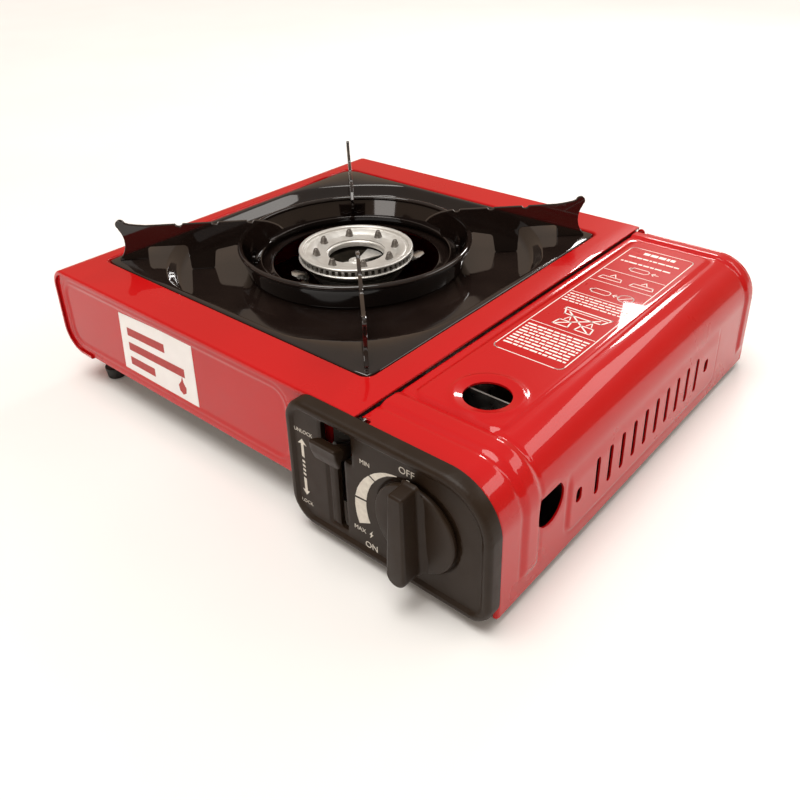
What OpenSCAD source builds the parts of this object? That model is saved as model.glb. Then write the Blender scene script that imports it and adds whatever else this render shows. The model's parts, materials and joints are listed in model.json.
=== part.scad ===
// Single-burner camping stove with a side bay for a gas cartridge.
// Origin: middle of the whole stove on the surface it stands on. X runs to the cartridge side,
// Y to the back and Z up. Every size is in millimetres.

/* [Case] */
// Width over the case and its cover
case_w = 336; // [334:1:340]
// Depth of the sheet-metal case, without the knob
case_d = 275; // [273:1:280]
// Height of the top plate above the table
top_z = 76; // [76:0.5:78]
// Height of the main chamber's underside
floor_z = 19; // [17:0.5:20]
// Height of the cartridge bay's underside
bay_z = 3; // [2.5:0.5:3.5]
// Thickness of the case sheets
sheet = 1; // [0.8:0.1:1]
// Width of the cartridge bay's side of the case
bay_w = 80.7; // [80:0.1:83]
// Outer radius of the cover's shoulder
shoulder_r = 25; // [22:1:27]
// How far the end plates sit inside the edges of the case
end_inset = 1.5; // [1.2:0.1:1.8]

/* [Hob] */
// Distance from the case's left side to the burner's axis
burner_from_left = 129.5; // [128:0.5:131]
// Half the width of the square recess that holds the drip pan
recess_half = 110.5; // [110:0.5:111]
// Radius of the dish pressed into the drip pan
dish_r = 117.5; // [116:0.5:118]
// Depth of the dish below the pan's corners
dish_deep = 8.9; // [8:0.1:10]
// Radius of the hole in the middle of the pan
pan_hole_r = 52.8; // [52:0.2:54]
// Outer radius of the raised wind ring
ring_r = 73.6; // [73:0.2:74]
// Height of the pot supports above the top plate
support_h = 21.5; // [20:0.5:23]
// Thickness of the pot supports
support_t = 2.2; // [2:0.1:2.6]
// Radius of the burner head
burner_r = 36.9; // [36:0.1:38]

/* [Controls] */
// Depth of the control panel in front of the case
panel_t = 8; // [7:0.5:9]
// Left edge of the control panel from the stove's middle
panel_left = 50; // [48:1:52]
// Radius of the knob's disc
knob_r = 22.2; // [21:0.1:23]
// How far the knob's grip reaches in front of the case
knob_reach = 22; // [21:0.5:24]
// Opening angle of the knob from off to full flame, in degrees
knob_turn = 140; // [120:5:145]
// Swing of the lock lever each side of level, in degrees
lever_half = 24; // [22:1:25]

/* [Gas] */
// Radius of the cartridge socket's bore
socket_r = 16.2; // [16:0.1:17]
// Radius of the gas cartridge that the bay is made for
cartridge_r = 34; // [33.5:0.1:34]
// Stroke of the cartridge pusher
push_stroke = 10; // [8:0.5:10]
// Stroke of the spark igniter's plunger
spark_stroke = 4; // [3:0.5:4]

/* [Hidden] */

$fn = 64;
fine = 96;            // facets of the large round parts
gap = 0.4;            // room between parts that move past each other
fit = 0.05;           // radial room of a running fit

// Limits of the case
total_d = case_d + knob_reach;
x_left = -case_w / 2;
x_right = case_w / 2;
y_back = total_d / 2;
y_front = y_back - case_d;
seam_x = x_right - bay_w;
burner_x = x_left + burner_from_left;
burner_y = y_front + case_d / 2;
corner_top_r = 12;
corner_low_r = 17;
lip_x = x_left + 18;
plate_front = y_front + end_inset;
plate_back = y_back - end_inset;
wall_x = seam_x - 0.3 - sheet;       // left face of the partition
bay_left = wall_x + sheet;
bay_floor = bay_z + sheet;

// Cover and its hinge
cover_top = top_z - 1.8;
cover_under = cover_top - sheet;
cover_x = seam_x + 1.2;
cover_low = bay_z + 1.4;
cover_front = y_front + 0.6;
cover_back = y_back - 0.6;
hinge_x = cover_x + 2;
hinge_z = cover_under - 0.6;
hinge_pin_r = 1;
lug_r = 2.4;
relief_z = hinge_z - 3.4;            // top of the bulkhead beside the hinge line
ear_y = 4.2;                         // depth of the notches over the hinge lugs
end_gap = 0.8;                       // room between the cover and the end plates
end_x = x_right - sheet - end_gap - gap;
end_top = cover_under - end_gap;
end_r = shoulder_r - sheet - end_gap - gap;

// Hob levels
pan_top = top_z - 0.4;
pan_floor = pan_top - dish_deep;
ring_top = top_z + 7.4;
support_top = top_z + support_h;
pan_half = recess_half - 0.6;
ledge_top = pan_top - sheet - gap;

// Burner levels
head_top = top_z + 0.3;
head_low = head_top - 11;
tube_z = floor_z + 13;
tube_r = 6;
jet_at = [113, y_front + 24.5, tube_z];
jet_angle = atan2(burner_y - jet_at[1], burner_x - jet_at[0]);
jet_run = norm([burner_x - jet_at[0], burner_y - jet_at[1]]);

// Controls
panel_front = y_front - panel_t;
panel_low = bay_z + 2;
panel_wall = 2.5;
panel_sunk = 1.5;
stem_x = 129;
stem_z = 40.4;
stem_r = 3;
slot_x0 = 72.6;
slot_x1 = 91.4;
slot_z0 = 13;
slot_z1 = 70;
window_z0 = 54;
channel_x0 = 75.5;
channel_x1 = 87;
lever_x = (slot_x0 + slot_x1) / 2 - 3;
lever_y = y_front + 30.5;
lever_z = (slot_z0 + slot_z1) / 2;
crank_r = push_stroke / 2 / sin(lever_half);
pivot_r = 2.5;
crank_pin_r = 1.8;
rod_x = lever_x + 2;
rod_t = 2;
rod_low = lever_z + 6;
rod_high = rod_low + 10;

// Gas parts
socket_x = 129;
socket_z = bay_floor + cartridge_r + 0.6;
bulkhead_y = y_front + 54.5;
pusher_y = plate_back - 25;
reg_front = y_front + 16.5;
cam_y = y_front + 9;
cam_r = 10;
cam_gap = 0.35;
spark_x0 = stem_x - 36;
spark_x1 = stem_x - 19;

// Points of an arc in a plane, both ends included
function arc(c, r, a0, a1, n = 10) =
    [for (i = [0 : n]) c + r * [cos(a0 + (a1 - a0) * i / n), sin(a0 + (a1 - a0) * i / n)]];
function back_to_front(list) = [for (i = [len(list) - 1 : -1 : 0]) list[i]];

// Extrudes an X-Z outline from y0 to y1
module along_y(y0, y1) {
    translate([0, y1, 0])
        rotate([90, 0, 0])
            linear_extrude(y1 - y0)
                children();
}

// Extrudes a Y-Z outline from x0 to x1
module along_x(x0, x1) {
    translate([x0, 0, 0])
        rotate([90, 0, 90])
            linear_extrude(x1 - x0)
                children();
}

// Box between two corners
module span(a, b) {
    translate(a)
        cube(b - a);
}

// Cylinder along +Y starting at a point
module rod_y(at, r, h) {
    translate(at)
        rotate([-90, 0, 0])
            cylinder(r = r, h = h);
}

// Cylinder along +X starting at a point
module rod_x(at, r, h) {
    translate(at)
        rotate([0, 90, 0])
            cylinder(r = r, h = h);
}

// Solid pin between two points
module pin(a, b, r) {
    d = b - a;
    flat = norm([d[0], d[1]]);
    translate(a)
        rotate([0, atan2(flat, d[2]), atan2(d[1], d[0])])
            cylinder(r = r, h = norm(d));
}

module at_burner() {
    translate([burner_x, burner_y, 0])
        children();
}

// ---- Case ----

// Half outline of the wrap, set in by o from the outside
function wrap_path(o) = concat(
    [[seam_x, top_z - o]],
    arc([x_left + corner_top_r, top_z - corner_top_r], corner_top_r - o, 90, 180),
    arc([x_left + corner_low_r, floor_z + corner_low_r], corner_low_r - o, 180, 270),
    [[lip_x + corner_low_r / 2, floor_z + o]]);

module case_wrap() {
    wall_low = ledge_top - sheet;
    color("firebrick") {
        difference() {
            along_y(y_front, y_back)
                polygon(concat(wrap_path(0), back_to_front(wrap_path(sheet))));
            at_burner()
                span([-recess_half, -recess_half, floor_z + 5], [recess_half, recess_half, top_z + 1]);
            for (y = left_foot_y)
                translate([left_foot_x, y, 0])
                    cylinder(r = foot_r, h = floor_z + 3);
        }
        at_burner() {
            difference() {
                span([-recess_half - sheet, -recess_half - sheet, wall_low],
                    [recess_half + sheet, recess_half + sheet, top_z - sheet]);
                span([-recess_half, -recess_half, wall_low - 1], [recess_half, recess_half, top_z]);
            }
            difference() {
                span([-recess_half, -recess_half, wall_low], [recess_half, recess_half, ledge_top]);
                translate([0, 0, wall_low - 1])
                    cylinder(r = dish_r + 2.5, h = 4, $fn = fine);
            }
        }
    }
}

module base_plate() {
    color("dimgray")
        span([x_left + corner_low_r, plate_front + sheet, floor_z + sheet],
            [wall_x, plate_back - sheet, floor_z + 2 * sheet]);
}

// Inset end plate of the main chamber, between y0 and y0 + sheet
module chamber_end(y0) {
    inner = wrap_path(sheet);
    along_y(y0, y0 + sheet)
        polygon(concat(
            [[wall_x, top_z - sheet]],
            [for (i = [1 : len(inner) - 2]) inner[i]],
            [[wall_x, floor_z + sheet]]));
}

module front_plate() {
    color("firebrick")
        difference() {
            chamber_end(plate_front);
            span([channel_x0 - 1, y_front, slot_z0 + 8], [wall_x, plate_front + sheet + 1, slot_z1 - 8]);
        }
}

module back_plate() {
    color("firebrick")
        difference() {
            chamber_end(plate_back - sheet);
            at_screws()
                rod_y([0, plate_back - sheet - 1, 0], screw_r, sheet + 2);
        }
}

module partition() {
    cross_x = wall_x + sheet / 2;
    cross_y = jet_at[1] + (cross_x - jet_at[0]) * tan(jet_angle);
    color("silver")
        difference() {
            span([wall_x, plate_front, bay_floor], [bay_left, plate_back, top_z - sheet]);
            translate([cross_x, cross_y, tube_z])
                rotate([0, 90, jet_angle])
                    cylinder(r = tube_r + 0.5, h = 20, center = true);
            span([wall_x - 1, heat_y0 - 0.5, tube_z + 0.7], [bay_left + 1, heat_y1 + 0.5, tube_z + 2.3]);
            span([wall_x - 1, pusher_y - push_stroke - 1.5, rod_low - 1],
                [bay_left + 1, pusher_y + 6, rod_high + 1]);
            rod_x([wall_x - 1, lead_pass[1], lead_pass[2]], lead_r + 0.8, 4);
        }
}

module bay_tray() {
    color("dimgray") {
        span([wall_x, plate_front, bay_z], [end_x, plate_back, bay_floor]);
        span([end_x - sheet, plate_front + sheet, bay_floor], [end_x, plate_back - sheet, bay_z + 9]);
    }
}

// Outline of the bay's end plates, or of the bulkhead, which is cut away round the hinge line
module bay_outline(left_corner) {
    polygon(concat(
        [[bay_left, bay_floor], [end_x - sheet, bay_floor]],
        [[end_x - sheet, bay_z + 9], [end_x, bay_z + 9]],
        arc([end_x - end_r, end_top - end_r], end_r, 0, 90),
        [[hinge_x + 6, end_top]],
        left_corner));
}

module bay_end(y0) {
    difference() {
        along_y(y0, y0 + sheet) {
            bay_outline([[bay_left, end_top]]);
            translate([hinge_x, hinge_z])
                circle(r = lug_r);
        }
        rod_y([hinge_x, y0 - 1, hinge_z], hinge_pin_r + fit, sheet + 2);
    }
}

module bay_front_plate() {
    color("#26201c")
        difference() {
            bay_end(plate_front);
            rod_y([stem_x, plate_front - 1, stem_z], stem_r + 1.5, sheet + 2);
        }
}

module bay_end_plate() {
    color("firebrick")
        bay_end(plate_back - sheet);
}

module regulator_bulkhead() {
    color("silver")
        difference() {
            along_y(bulkhead_y, bulkhead_y + sheet)
                bay_outline([[hinge_x + 4, relief_z], [bay_left, relief_z]]);
            rod_y([socket_x, bulkhead_y - 1, socket_z], socket_r, sheet + 2);
        }
}

heat_y0 = burner_y + 3;
heat_y1 = burner_y + 28;
module heat_plate() {
    color("gainsboro") {
        span([bay_left, burner_y - 30, bay_floor], [bay_left + 13, burner_y + 50, bay_floor + 1]);
        span([bay_left, burner_y - 30, bay_floor + 1], [bay_left + 1, burner_y + 50, tube_z + 2]);
        span([burner_x + 33, heat_y0, tube_z + 1], [bay_left, heat_y1, tube_z + 2]);
    }
}

foot_r = 6.5;
left_foot_x = x_left + 26;
left_foot_y = [y_front + 15, y_back - 15];
right_foot_x = x_right - 10;
module feet() {
    color("#151412") {
        for (y = left_foot_y)
            translate([left_foot_x, y, 0])
                rotate_extrude()
                    polygon(concat(
                        [[0, 0]],
                        arc([foot_r - 3, 3], 3, -90, 0, 6),
                        [[foot_r, floor_z + sheet], [0, floor_z + sheet]]));
        for (y = [y_front + 8, y_back - 9])
            translate([right_foot_x, y, 0])
                cylinder(r = foot_r, h = bay_z);
    }
}

screw_r = 1.5;
screw_head_r = 3;
screw_head_h = 1.2;
module at_screws() {
    for (x = [x_left + 24, wall_x - 24], z = [floor_z + 14, top_z - 16])
        translate([x, 0, z])
            children();
}

module case_screws() {
    color("silver")
        at_screws() {
            rod_y([0, plate_back, 0], screw_head_r, screw_head_h);
            rod_y([0, plate_back - sheet - 4, 0], screw_r, sheet + 4);
        }
}

// ---- Control panel ----

// Corner radii of the panel, anticlockwise from the top right
panel_r = [26, 12, 15, 11];
panel_rim = 4;
// Outline of the panel, set in by o
module panel_outline(o) {
    polygon(concat(
        arc([x_right - panel_r[0], top_z - panel_r[0]], panel_r[0] - o, 0, 90),
        arc([panel_left + panel_r[1], top_z - panel_r[1]], panel_r[1] - o, 90, 180),
        arc([panel_left + panel_r[2], panel_low + panel_r[2]], panel_r[2] - o, 180, 270),
        arc([x_right - panel_r[3], panel_low + panel_r[3]], panel_r[3] - o, 270, 360)));
}

module control_panel() {
    color("#3a2c1f")
        difference() {
            along_y(panel_front, y_front)
                panel_outline(0);
            along_y(panel_front - 1, panel_front + panel_sunk)
                panel_outline(panel_rim);
            along_y(panel_front + panel_sunk + panel_wall, y_front + 1)
                panel_outline(panel_wall);
            span([slot_x0, panel_front - 1, window_z0], [slot_x1, y_front, slot_z1]);
            span([channel_x0, panel_front - 1, slot_z0], [channel_x1, y_front, window_z0 + 1]);
            rod_y([stem_x, panel_front - 1, stem_z], stem_r + 1.5, panel_t + 2);
        }
}

// ---- Cartridge cover ----

function cover_path(o) = concat(
    [[x_right - o, cover_low]],
    arc([x_right - shoulder_r, cover_top - shoulder_r], shoulder_r - o, 0, 90, 12),
    [[cover_x, cover_top - o]]);

slot_pitch = 12.5;
slot_count = 10;
slot_first = y_front + 80.6;
vent_z0 = 21.5;
vent_z1 = 43;
vent_w = 4;
top_hole_r = 11.6;
side_hole_r = 10.8;
small_hole_r = 4.2;
module cartridge_cover() {
    top_hole = [stem_x - 6.2, y_front + 52.8];
    side_hole = [y_front + 39.8, stem_z + 1];
    slot_last = slot_first + slot_pitch * (slot_count - 1);
    color("firebrick")
        difference() {
            along_y(cover_front, cover_back)
                polygon(concat(cover_path(0), back_to_front(cover_path(sheet))));
            for (y = [cover_front - 1, cover_back - ear_y])
                span([cover_x - 1, y, cover_under - 1], [hinge_x + 4, y + ear_y + 1, cover_top + 1]);
            translate([top_hole[0], top_hole[1], cover_under - 1])
                cylinder(r = top_hole_r, h = 4);
            rod_x([x_right - 3, side_hole[0], side_hole[1]], side_hole_r, 4);
            for (i = [0 : slot_count - 1])
                span([x_right - 3, slot_first + i * slot_pitch - vent_w / 2, vent_z0],
                    [x_right + 1, slot_first + i * slot_pitch + vent_w / 2, vent_z1]);
            for (y = [slot_first - 17.3, slot_last + 13.1])
                rod_x([x_right - 3, y, (vent_z0 + vent_z1) / 2], small_hole_r, 4);
        }
}

module cover_ears() {
    ear_t = 1;
    color("firebrick")
        for (y = [cover_front + ear_y, cover_back - ear_y - ear_t])
            span([cover_x + 0.2, y, hinge_z - 2.6], [hinge_x + 3, y + ear_t, cover_under]);
}

module hinge_pins() {
    pin_l = ear_y - 0.7;
    color("silver") {
        rod_y([hinge_x, cover_front + ear_y - pin_l, hinge_z], hinge_pin_r, pin_l);
        rod_y([hinge_x, cover_back - ear_y, hinge_z], hinge_pin_r, pin_l);
    }
}

// ---- Hob ----

// Radius and height of the pan's upper surface, from the corners to the middle hole
dish_curve = concat(
    [[dish_r + 0.5, pan_top]],
    arc([dish_r - 1, pan_top - 4], 4, 90, 150, 6),
    arc([dish_r - 9.4, pan_floor + 5], 5, -30, -90, 6),
    [[pan_hole_r + 4, pan_floor], [pan_hole_r, pan_floor + 1.8]]);

module drip_pan() {
    low = [for (p = dish_curve) p - [0, sheet]];
    color("#191411")
        at_burner() {
            intersection() {
                rotate_extrude($fn = fine)
                    polygon(concat(dish_curve, back_to_front(low)));
                span([-pan_half, -pan_half, pan_floor - 5], [pan_half, pan_half, top_z]);
            }
            difference() {
                span([-pan_half, -pan_half, pan_top - sheet], [pan_half, pan_half, pan_top]);
                translate([0, 0, pan_top - 5])
                    cylinder(r = dish_r + 0.5, h = 9, $fn = fine);
            }
            intersection() {
                difference() {
                    span([-pan_half, -pan_half, pan_floor + 2], [pan_half, pan_half, pan_top]);
                    span([-pan_half + sheet, -pan_half + sheet, pan_floor - 5],
                        [pan_half - sheet, pan_half - sheet, top_z]);
                }
                translate([0, 0, pan_floor - 5])
                    cylinder(r = dish_r + 0.5, h = 30, $fn = fine);
            }
        }
}

// Gutter-shaped ring: rolled rim, steep wall, flat foot and a raised inner lip
ring_ledge = top_z - 3.8;
ring_foot_r = 68.4;
ring_lip_r = 60.5;
ring_t = 1.2;
module wind_ring() {
    roll = 1.6;
    rim = [ring_r - roll, ring_top - roll];
    color("#191411")
        at_burner()
            rotate_extrude($fn = fine)
                polygon(concat(
                    arc(rim, roll, 225, -45, 12),
                    [[ring_foot_r, pan_floor], [ring_lip_r + ring_t, pan_floor]],
                    [[ring_lip_r - ring_t, ring_ledge], [ring_lip_r, ring_ledge]],
                    [[ring_lip_r + 2 * ring_t, pan_floor + ring_t],
                    [ring_foot_r - ring_t, pan_floor + ring_t]]));
}

tip_r = 3;            // rounded outer tip of a pot support
notch_r = 2.4;
notch_at = [64.2, 86, 108];
// Pot support, drawn in the plane of its diagonal: radius against height
module support_outline() {
    difference() {
        polygon(concat(
            [[44.3, top_z + 14.5], [50, top_z + 18.6], [58, support_top - 0.6], [62, support_top]],
            [[134, support_top + 0.8]],
            arc([143.2, support_top + 1.5], tip_r, 170, 10),
            arc([156, top_z + 10], 11.4, 130, 232, 8),
            [[147.2, pan_top], [129.5, pan_top], [129, top_z + 7.6], [105, top_z + 7.4]],
            [[104, pan_floor], [89.5, pan_floor], [87.6, top_z + 1], [86, top_z + 2.6]],
            [[75, top_z + 5.6], [72, top_z + 5], [ring_foot_r - ring_t / 2, pan_floor + 0.6]],
            [[64, pan_floor + 0.6], [63.2, ring_ledge + 1.4], [57, top_z + 3]]));
        for (u = notch_at)
            translate([u, support_top + 0.9])
                circle(r = notch_r);
    }
}

module support(angle) {
    color("#120f0d")
        difference() {
            at_burner()
                rotate([90, 0, angle])
                    linear_extrude(support_t, center = true)
                        support_outline();
            wind_ring();
        }
}

module support_right() { support(45); }
module support_back() { support(135); }
module support_left() { support(225); }
module support_front() { support(315); }

// Tabs welded to the supports inside the wind ring, one each side of every plate
tab_w = 7;
tab_h = 12;
tab_u = 65;
tab_low = pan_floor + ring_t;
module at_tabs() {
    at_burner()
        for (angle = [45 : 90 : 315], side = [-1, 1])
            rotate(angle)
                translate([tab_u, side * (support_t / 2 + tab_w / 2), tab_low])
                    children();
}

module support_tabs() {
    color("#120f0d")
        at_tabs()
            translate([-ring_t / 2, -tab_w / 2, 0])
                cube([ring_t, tab_w, tab_h]);
}

module support_rivets() {
    color("#2a2420")
        at_tabs()
            translate([-ring_t / 2 - 1, 0, tab_h / 2])
                rotate([0, 90, 0])
                    cylinder(r = 1.5, h = 1, $fn = 24);
}

// ---- Burner ----

burner_bore = 18;
module burner_head() {
    teeth = 36;
    color("gainsboro")
        at_burner()
            difference() {
                rotate_extrude($fn = fine)
                    polygon([[burner_bore, head_low], [burner_r - 3, head_low],
                        [burner_r - 1.4, head_low + 1], [burner_r - 1.4, head_top - 3],
                        [burner_r, head_top - 2], [burner_r, head_top - 0.6],
                        [burner_r - 0.8, head_top], [burner_r - 3.2, head_top],
                        [burner_r - 6, head_top - 1.6], [burner_bore + 6, head_top - 4.6],
                        [burner_bore, head_top - 6.4]]);
                for (i = [0 : teeth - 1])
                    rotate(i * 360 / teeth)
                        span([burner_r - 4, -0.6, head_low - 1], [burner_r + 1, 0.6, head_top - 3.4]);
                stud_holes();
            }
}

stud_count = 8;
stud_u = 27;
stud_r = 1.6;
module stud_holes() {
    for (i = [0 : stud_count - 1])
        rotate(i * 360 / stud_count + 12)
            translate([stud_u, 0, head_low - 1])
                cylinder(r = stud_r, h = 20, $fn = 24);
}

module burner_studs() {
    color("darkgray")
        at_burner()
            for (i = [0 : stud_count - 1])
                rotate(i * 360 / stud_count + 12)
                    translate([stud_u, 0, head_low]) {
                        cylinder(r = stud_r, h = 9.4, $fn = 24);
                        translate([0, 0, 9.4])
                            cylinder(r = 1, h = 1.2, $fn = 24);
                    }
}

cup_neck_r = 13;
cup_low = tube_z - 8;
module burner_cup() {
    color("silver")
        difference() {
            at_burner()
                difference() {
                    rotate_extrude($fn = fine)
                        polygon([[0, cup_low], [cup_neck_r, cup_low], [cup_neck_r, tube_z + 12],
                            [burner_r - 8, head_low - 5], [burner_r - 5, head_low], [burner_bore, head_low],
                            [burner_bore - 1, head_low - 6], [0, tube_z + 16]]);
                    translate([0, 0, tube_z + 10])
                        cylinder(r = 4, h = 30);
                }
            translate(jet_at)
                rotate([0, 90, jet_angle])
                    cylinder(r = tube_r, h = jet_run - 4);
        }
}

// Cross-piece over the burner's middle
module burner_bridge() {
    bridge_z = head_low - 0.4;
    bridge_t = 1.4;
    color("gainsboro")
        at_burner()
            difference() {
                union() {
                    translate([0, 0, bridge_z])
                        cylinder(r = 7, h = bridge_t);
                    for (angle = [20, 110])
                        rotate(angle)
                            span([-burner_bore + 0.1, -2.6, bridge_z],
                                [burner_bore - 0.1, 2.6, bridge_z + bridge_t]);
                }
                translate([0, 0, bridge_z - 1])
                    cylinder(r = 1.6, h = 4);
                translate([0, 0, bridge_z - 3])
                    difference() {
                        cylinder(r = burner_bore + 6, h = 3.4, $fn = fine);
                        cylinder(r = burner_bore - 1.3, h = 3.4, $fn = fine);
                    }
            }
}

module burner_stand() {
    base = floor_z + 2 * sheet;
    strip_t = 1.2;
    strip_half = 9;
    half = 26;
    deck = head_low - 14;
    cut_low = deck - 4;
    cut_high = deck + 6;
    color("silver")
        at_burner() {
            span([-half, -strip_half, base], [half, strip_half, base + strip_t]);
            for (side = [-half, half])
                span([side - strip_t / 2, -strip_half, base + strip_t],
                    [side + strip_t / 2, strip_half, deck]);
            difference() {
                span([-half - strip_t / 2, -strip_half, deck],
                    [half + strip_t / 2, strip_half, deck + strip_t]);
                translate([0, 0, cut_low])
                    cylinder(r1 = cup_r(cut_low), r2 = cup_r(cut_high), h = cut_high - cut_low, $fn = fine);
            }
            span([-8, -8, base + strip_t], [8, 8, cup_low]);
        }
}

// Radius of the cup's cone at a height
function cup_r(z) = cup_neck_r
    + (burner_r - 8 - cup_neck_r) * (z - tube_z - 12) / (head_low - 5 - tube_z - 12);

module mixing_tube() {
    bore = tube_r - 1.2;
    color("silver")
        translate(jet_at)
            rotate([0, 90, jet_angle])
                translate([0, 0, 10])
                    difference() {
                        cylinder(r = tube_r, h = jet_run - 14);
                        translate([0, 0, -1])
                            cylinder(r = bore, h = jet_run);
                        translate([-tube_r - 1, 0, 10])
                            cube([2 * tube_r + 2, 4, 8]);
                    }
}

module gas_jet() {
    color("goldenrod")
        difference() {
            translate(jet_at)
                rotate([0, 90, jet_angle])
                    difference() {
                        union() {
                            translate([0, 0, -4])
                                cylinder(r = 4, h = 8);
                            cylinder(r = 2.4, h = 14);
                        }
                        translate([0, 0, -5])
                            cylinder(r = 0.6, h = 24, $fn = 24);
                    }
            regulator_block();
        }
}

// ---- Regulator ----

// Outside of the regulator's casting, solid
module regulator_block() {
    span([stem_x - 16, reg_front + 5, socket_z - 12], [stem_x + 16, bulkhead_y, socket_z + 14]);
    rod_y([stem_x, reg_front, stem_z], 9, 5);
    rod_y([socket_x, bulkhead_y - 14, socket_z], 20, 14);
}

recess_deep = 4;
module regulator_body() {
    color("lightgray")
        difference() {
            regulator_block();
            rod_y([stem_x, reg_front - 1, stem_z], stem_r + fit, 11);
            rod_y([socket_x, bulkhead_y - recess_deep, socket_z], socket_r - 1, recess_deep + 1);
        }
}

module socket_collar() {
    color("goldenrod")
        difference() {
            rod_y([socket_x, bulkhead_y + sheet, socket_z], 20, 7);
            rod_y([socket_x, bulkhead_y, socket_z], socket_r, 10);
        }
}

module inlet_nipple() {
    color("goldenrod")
        difference() {
            union() {
                rod_y([socket_x, bulkhead_y - recess_deep, socket_z], 5, 3);
                rod_y([socket_x, bulkhead_y - 1, socket_z], 2, 1);
            }
            rod_y([socket_x, bulkhead_y - recess_deep - 1, socket_z], 0.7, recess_deep + 2);
        }
}

module locating_tab() {
    color("silver")
        span([socket_x - 2.5, bulkhead_y + sheet, socket_z + 22],
            [socket_x + 2.5, bulkhead_y + 9, socket_z + 24]);
}

// ---- Ignition ----

spark_dir = 233;
spark_at = [burner_x + 43 * cos(spark_dir), burner_y + 43 * sin(spark_dir), 0];
module electrode_ceramic() {
    color("ivory")
        translate([spark_at[0], spark_at[1], 0])
            difference() {
                union() {
                    translate([0, 0, 40])
                        cylinder(r = 2.4, h = 22, $fn = 32);
                    translate([0, 0, 48])
                        cylinder(r = 3.4, h = 5, $fn = 32);
                }
                translate([0, 0, 39])
                    cylinder(r = 0.8, h = 24, $fn = 32);
            }
}

module electrode_pin() {
    top = 67;
    color("gray") {
        translate([spark_at[0], spark_at[1], 38])
            cylinder(r = 0.8, h = top - 38, $fn = 32);
        translate([spark_at[0], spark_at[1], top])
            rotate([0, 90, spark_dir + 180])
                translate([0, 0, -0.8])
                    cylinder(r = 0.8, h = 5, $fn = 32);
    }
}

module electrode_bracket() {
    base = floor_z + 2 * sheet;
    color("silver")
        translate([spark_at[0], spark_at[1], 0])
            rotate(spark_dir) {
                difference() {
                    span([-5, -5, 46.8], [12, 5, 48]);
                    translate([0, 0, 40])
                        cylinder(r = 2.4, h = 20, $fn = 32);
                }
                span([12, -5, base], [13.2, 5, 48]);
                span([3, -5, base], [12, 5, base + 1.2]);
            }
}

module spark_igniter() {
    color("#2b2b2b")
        difference() {
            span([spark_x0, plate_front + sheet, stem_z - 5.5], [spark_x1, cam_y + 6.5, stem_z + 5.5]);
            rod_x([spark_x0 + 6, cam_y, stem_z], 3 + fit, 20);
        }
}

module spark_plunger() {
    tip = stem_x - cam_r - cam_gap;
    color("white")
        intersection() {
            rod_x([spark_x1 - 6, cam_y, stem_z], 3, 40);
            union() {
                span([spark_x1 - 6, cam_y - 4, stem_z - 4], [tip - 3, cam_y + 4, stem_z + 4]);
                rod_y([tip - 3, cam_y - 4, stem_z], 3, 8);
            }
        }
}

// Round points of the lead's route, from the igniter to the electrode
lead_start = [spark_x0 + 3, cam_y, stem_z - 5.5];
lead_pass = [wall_x + 0.5, y_front + 22, 25];
lead_end = [spark_at[0], spark_at[1], 38];
lead_r = 1.2;
lead_knots = [lead_start, lead_start + [0, 1, -6], [91, y_front + 16, 26], lead_pass,
    [70, y_front + 26, 25], [40, y_front + 28, 25], [0, y_front + 32, 26], [-36, y_front + 48, 27],
    [lead_end[0] + 6, lead_end[1] - 26, 28], [lead_end[0] + 1, lead_end[1] - 10, 30],
    lead_end - [0, 1.2, 5], lead_end];

// Smooth curve through the knots, four rings a stretch
function knot(i) = lead_knots[min(max(i, 0), len(lead_knots) - 1)];
function smooth(i, t) = 0.5 * (2 * knot(i) + (knot(i + 1) - knot(i - 1)) * t
    + (2 * knot(i - 1) - 5 * knot(i) + 4 * knot(i + 1) - knot(i + 2)) * t * t
    + (3 * knot(i) - knot(i - 1) - 3 * knot(i + 1) + knot(i + 2)) * t * t * t);
lead_path = concat([for (i = [0 : len(lead_knots) - 2], k = [0 : 3]) smooth(i, k / 4)], [lead_end]);
function unit(v) = v / norm(v);
function heading(i) = unit(lead_path[min(i + 1, len(lead_path) - 1)] - lead_path[max(i - 1, 0)]);
function side_of(d) = unit(cross(d, abs(d[2]) > 0.9 ? [0, 1, 0] : [0, 0, 1]));

module ignition_lead() {
    sides = 8;
    rings = len(lead_path);
    // The side direction is carried from ring to ring, so that the tube never twists
    function carried(i) = i == 0 ? side_of(heading(0))
        : let (s = carried(i - 1), d = heading(i)) unit(s - d * (s * d));
    points = [for (i = [0 : rings - 1], k = [0 : sides - 1])
        let (d = heading(i), s = carried(i), a = 360 * k / sides)
            lead_path[i] + lead_r * (cos(a) * s + sin(a) * cross(d, s))];
    walls = [for (i = [0 : rings - 2], k = [0 : sides - 1])
        let (a = i * sides, b = (k + 1) % sides) [a + k, a + b, a + sides + b, a + sides + k]];
    first = [for (k = [sides - 1 : -1 : 0]) k];
    last = [for (k = [0 : sides - 1]) (rings - 1) * sides + k];
    color("#b01818")
        polyhedron(points, concat([first], walls, [last]));
}

// ---- Knob, stem and cam ----

disc_back = panel_front + panel_sunk - 0.3;      // rear face of the knob's disc
knob_bore = 10;
module control_knob() {
    disc_t = 2.6;
    grip_w = 10;
    grip_half = 24;
    color("#3a2c1f")
        difference() {
            union() {
                rod_y([stem_x, disc_back - disc_t, stem_z], knob_r, disc_t);
                intersection() {
                    rod_y([stem_x, y_front - knob_reach, stem_z], grip_half, 40);
                    span([stem_x - grip_w / 2, y_front - knob_reach, stem_z - grip_half],
                        [stem_x + grip_w / 2, disc_back, stem_z + grip_half]);
                }
            }
            rod_y([stem_x, disc_back - knob_bore, stem_z], stem_r, knob_bore + 4);
        }
}

module valve_stem() {
    stem_l = reg_front + 9 - disc_back + knob_bore;
    color("goldenrod")
        rod_y([stem_x, disc_back - knob_bore, stem_z], stem_r, stem_l);
}

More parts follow.
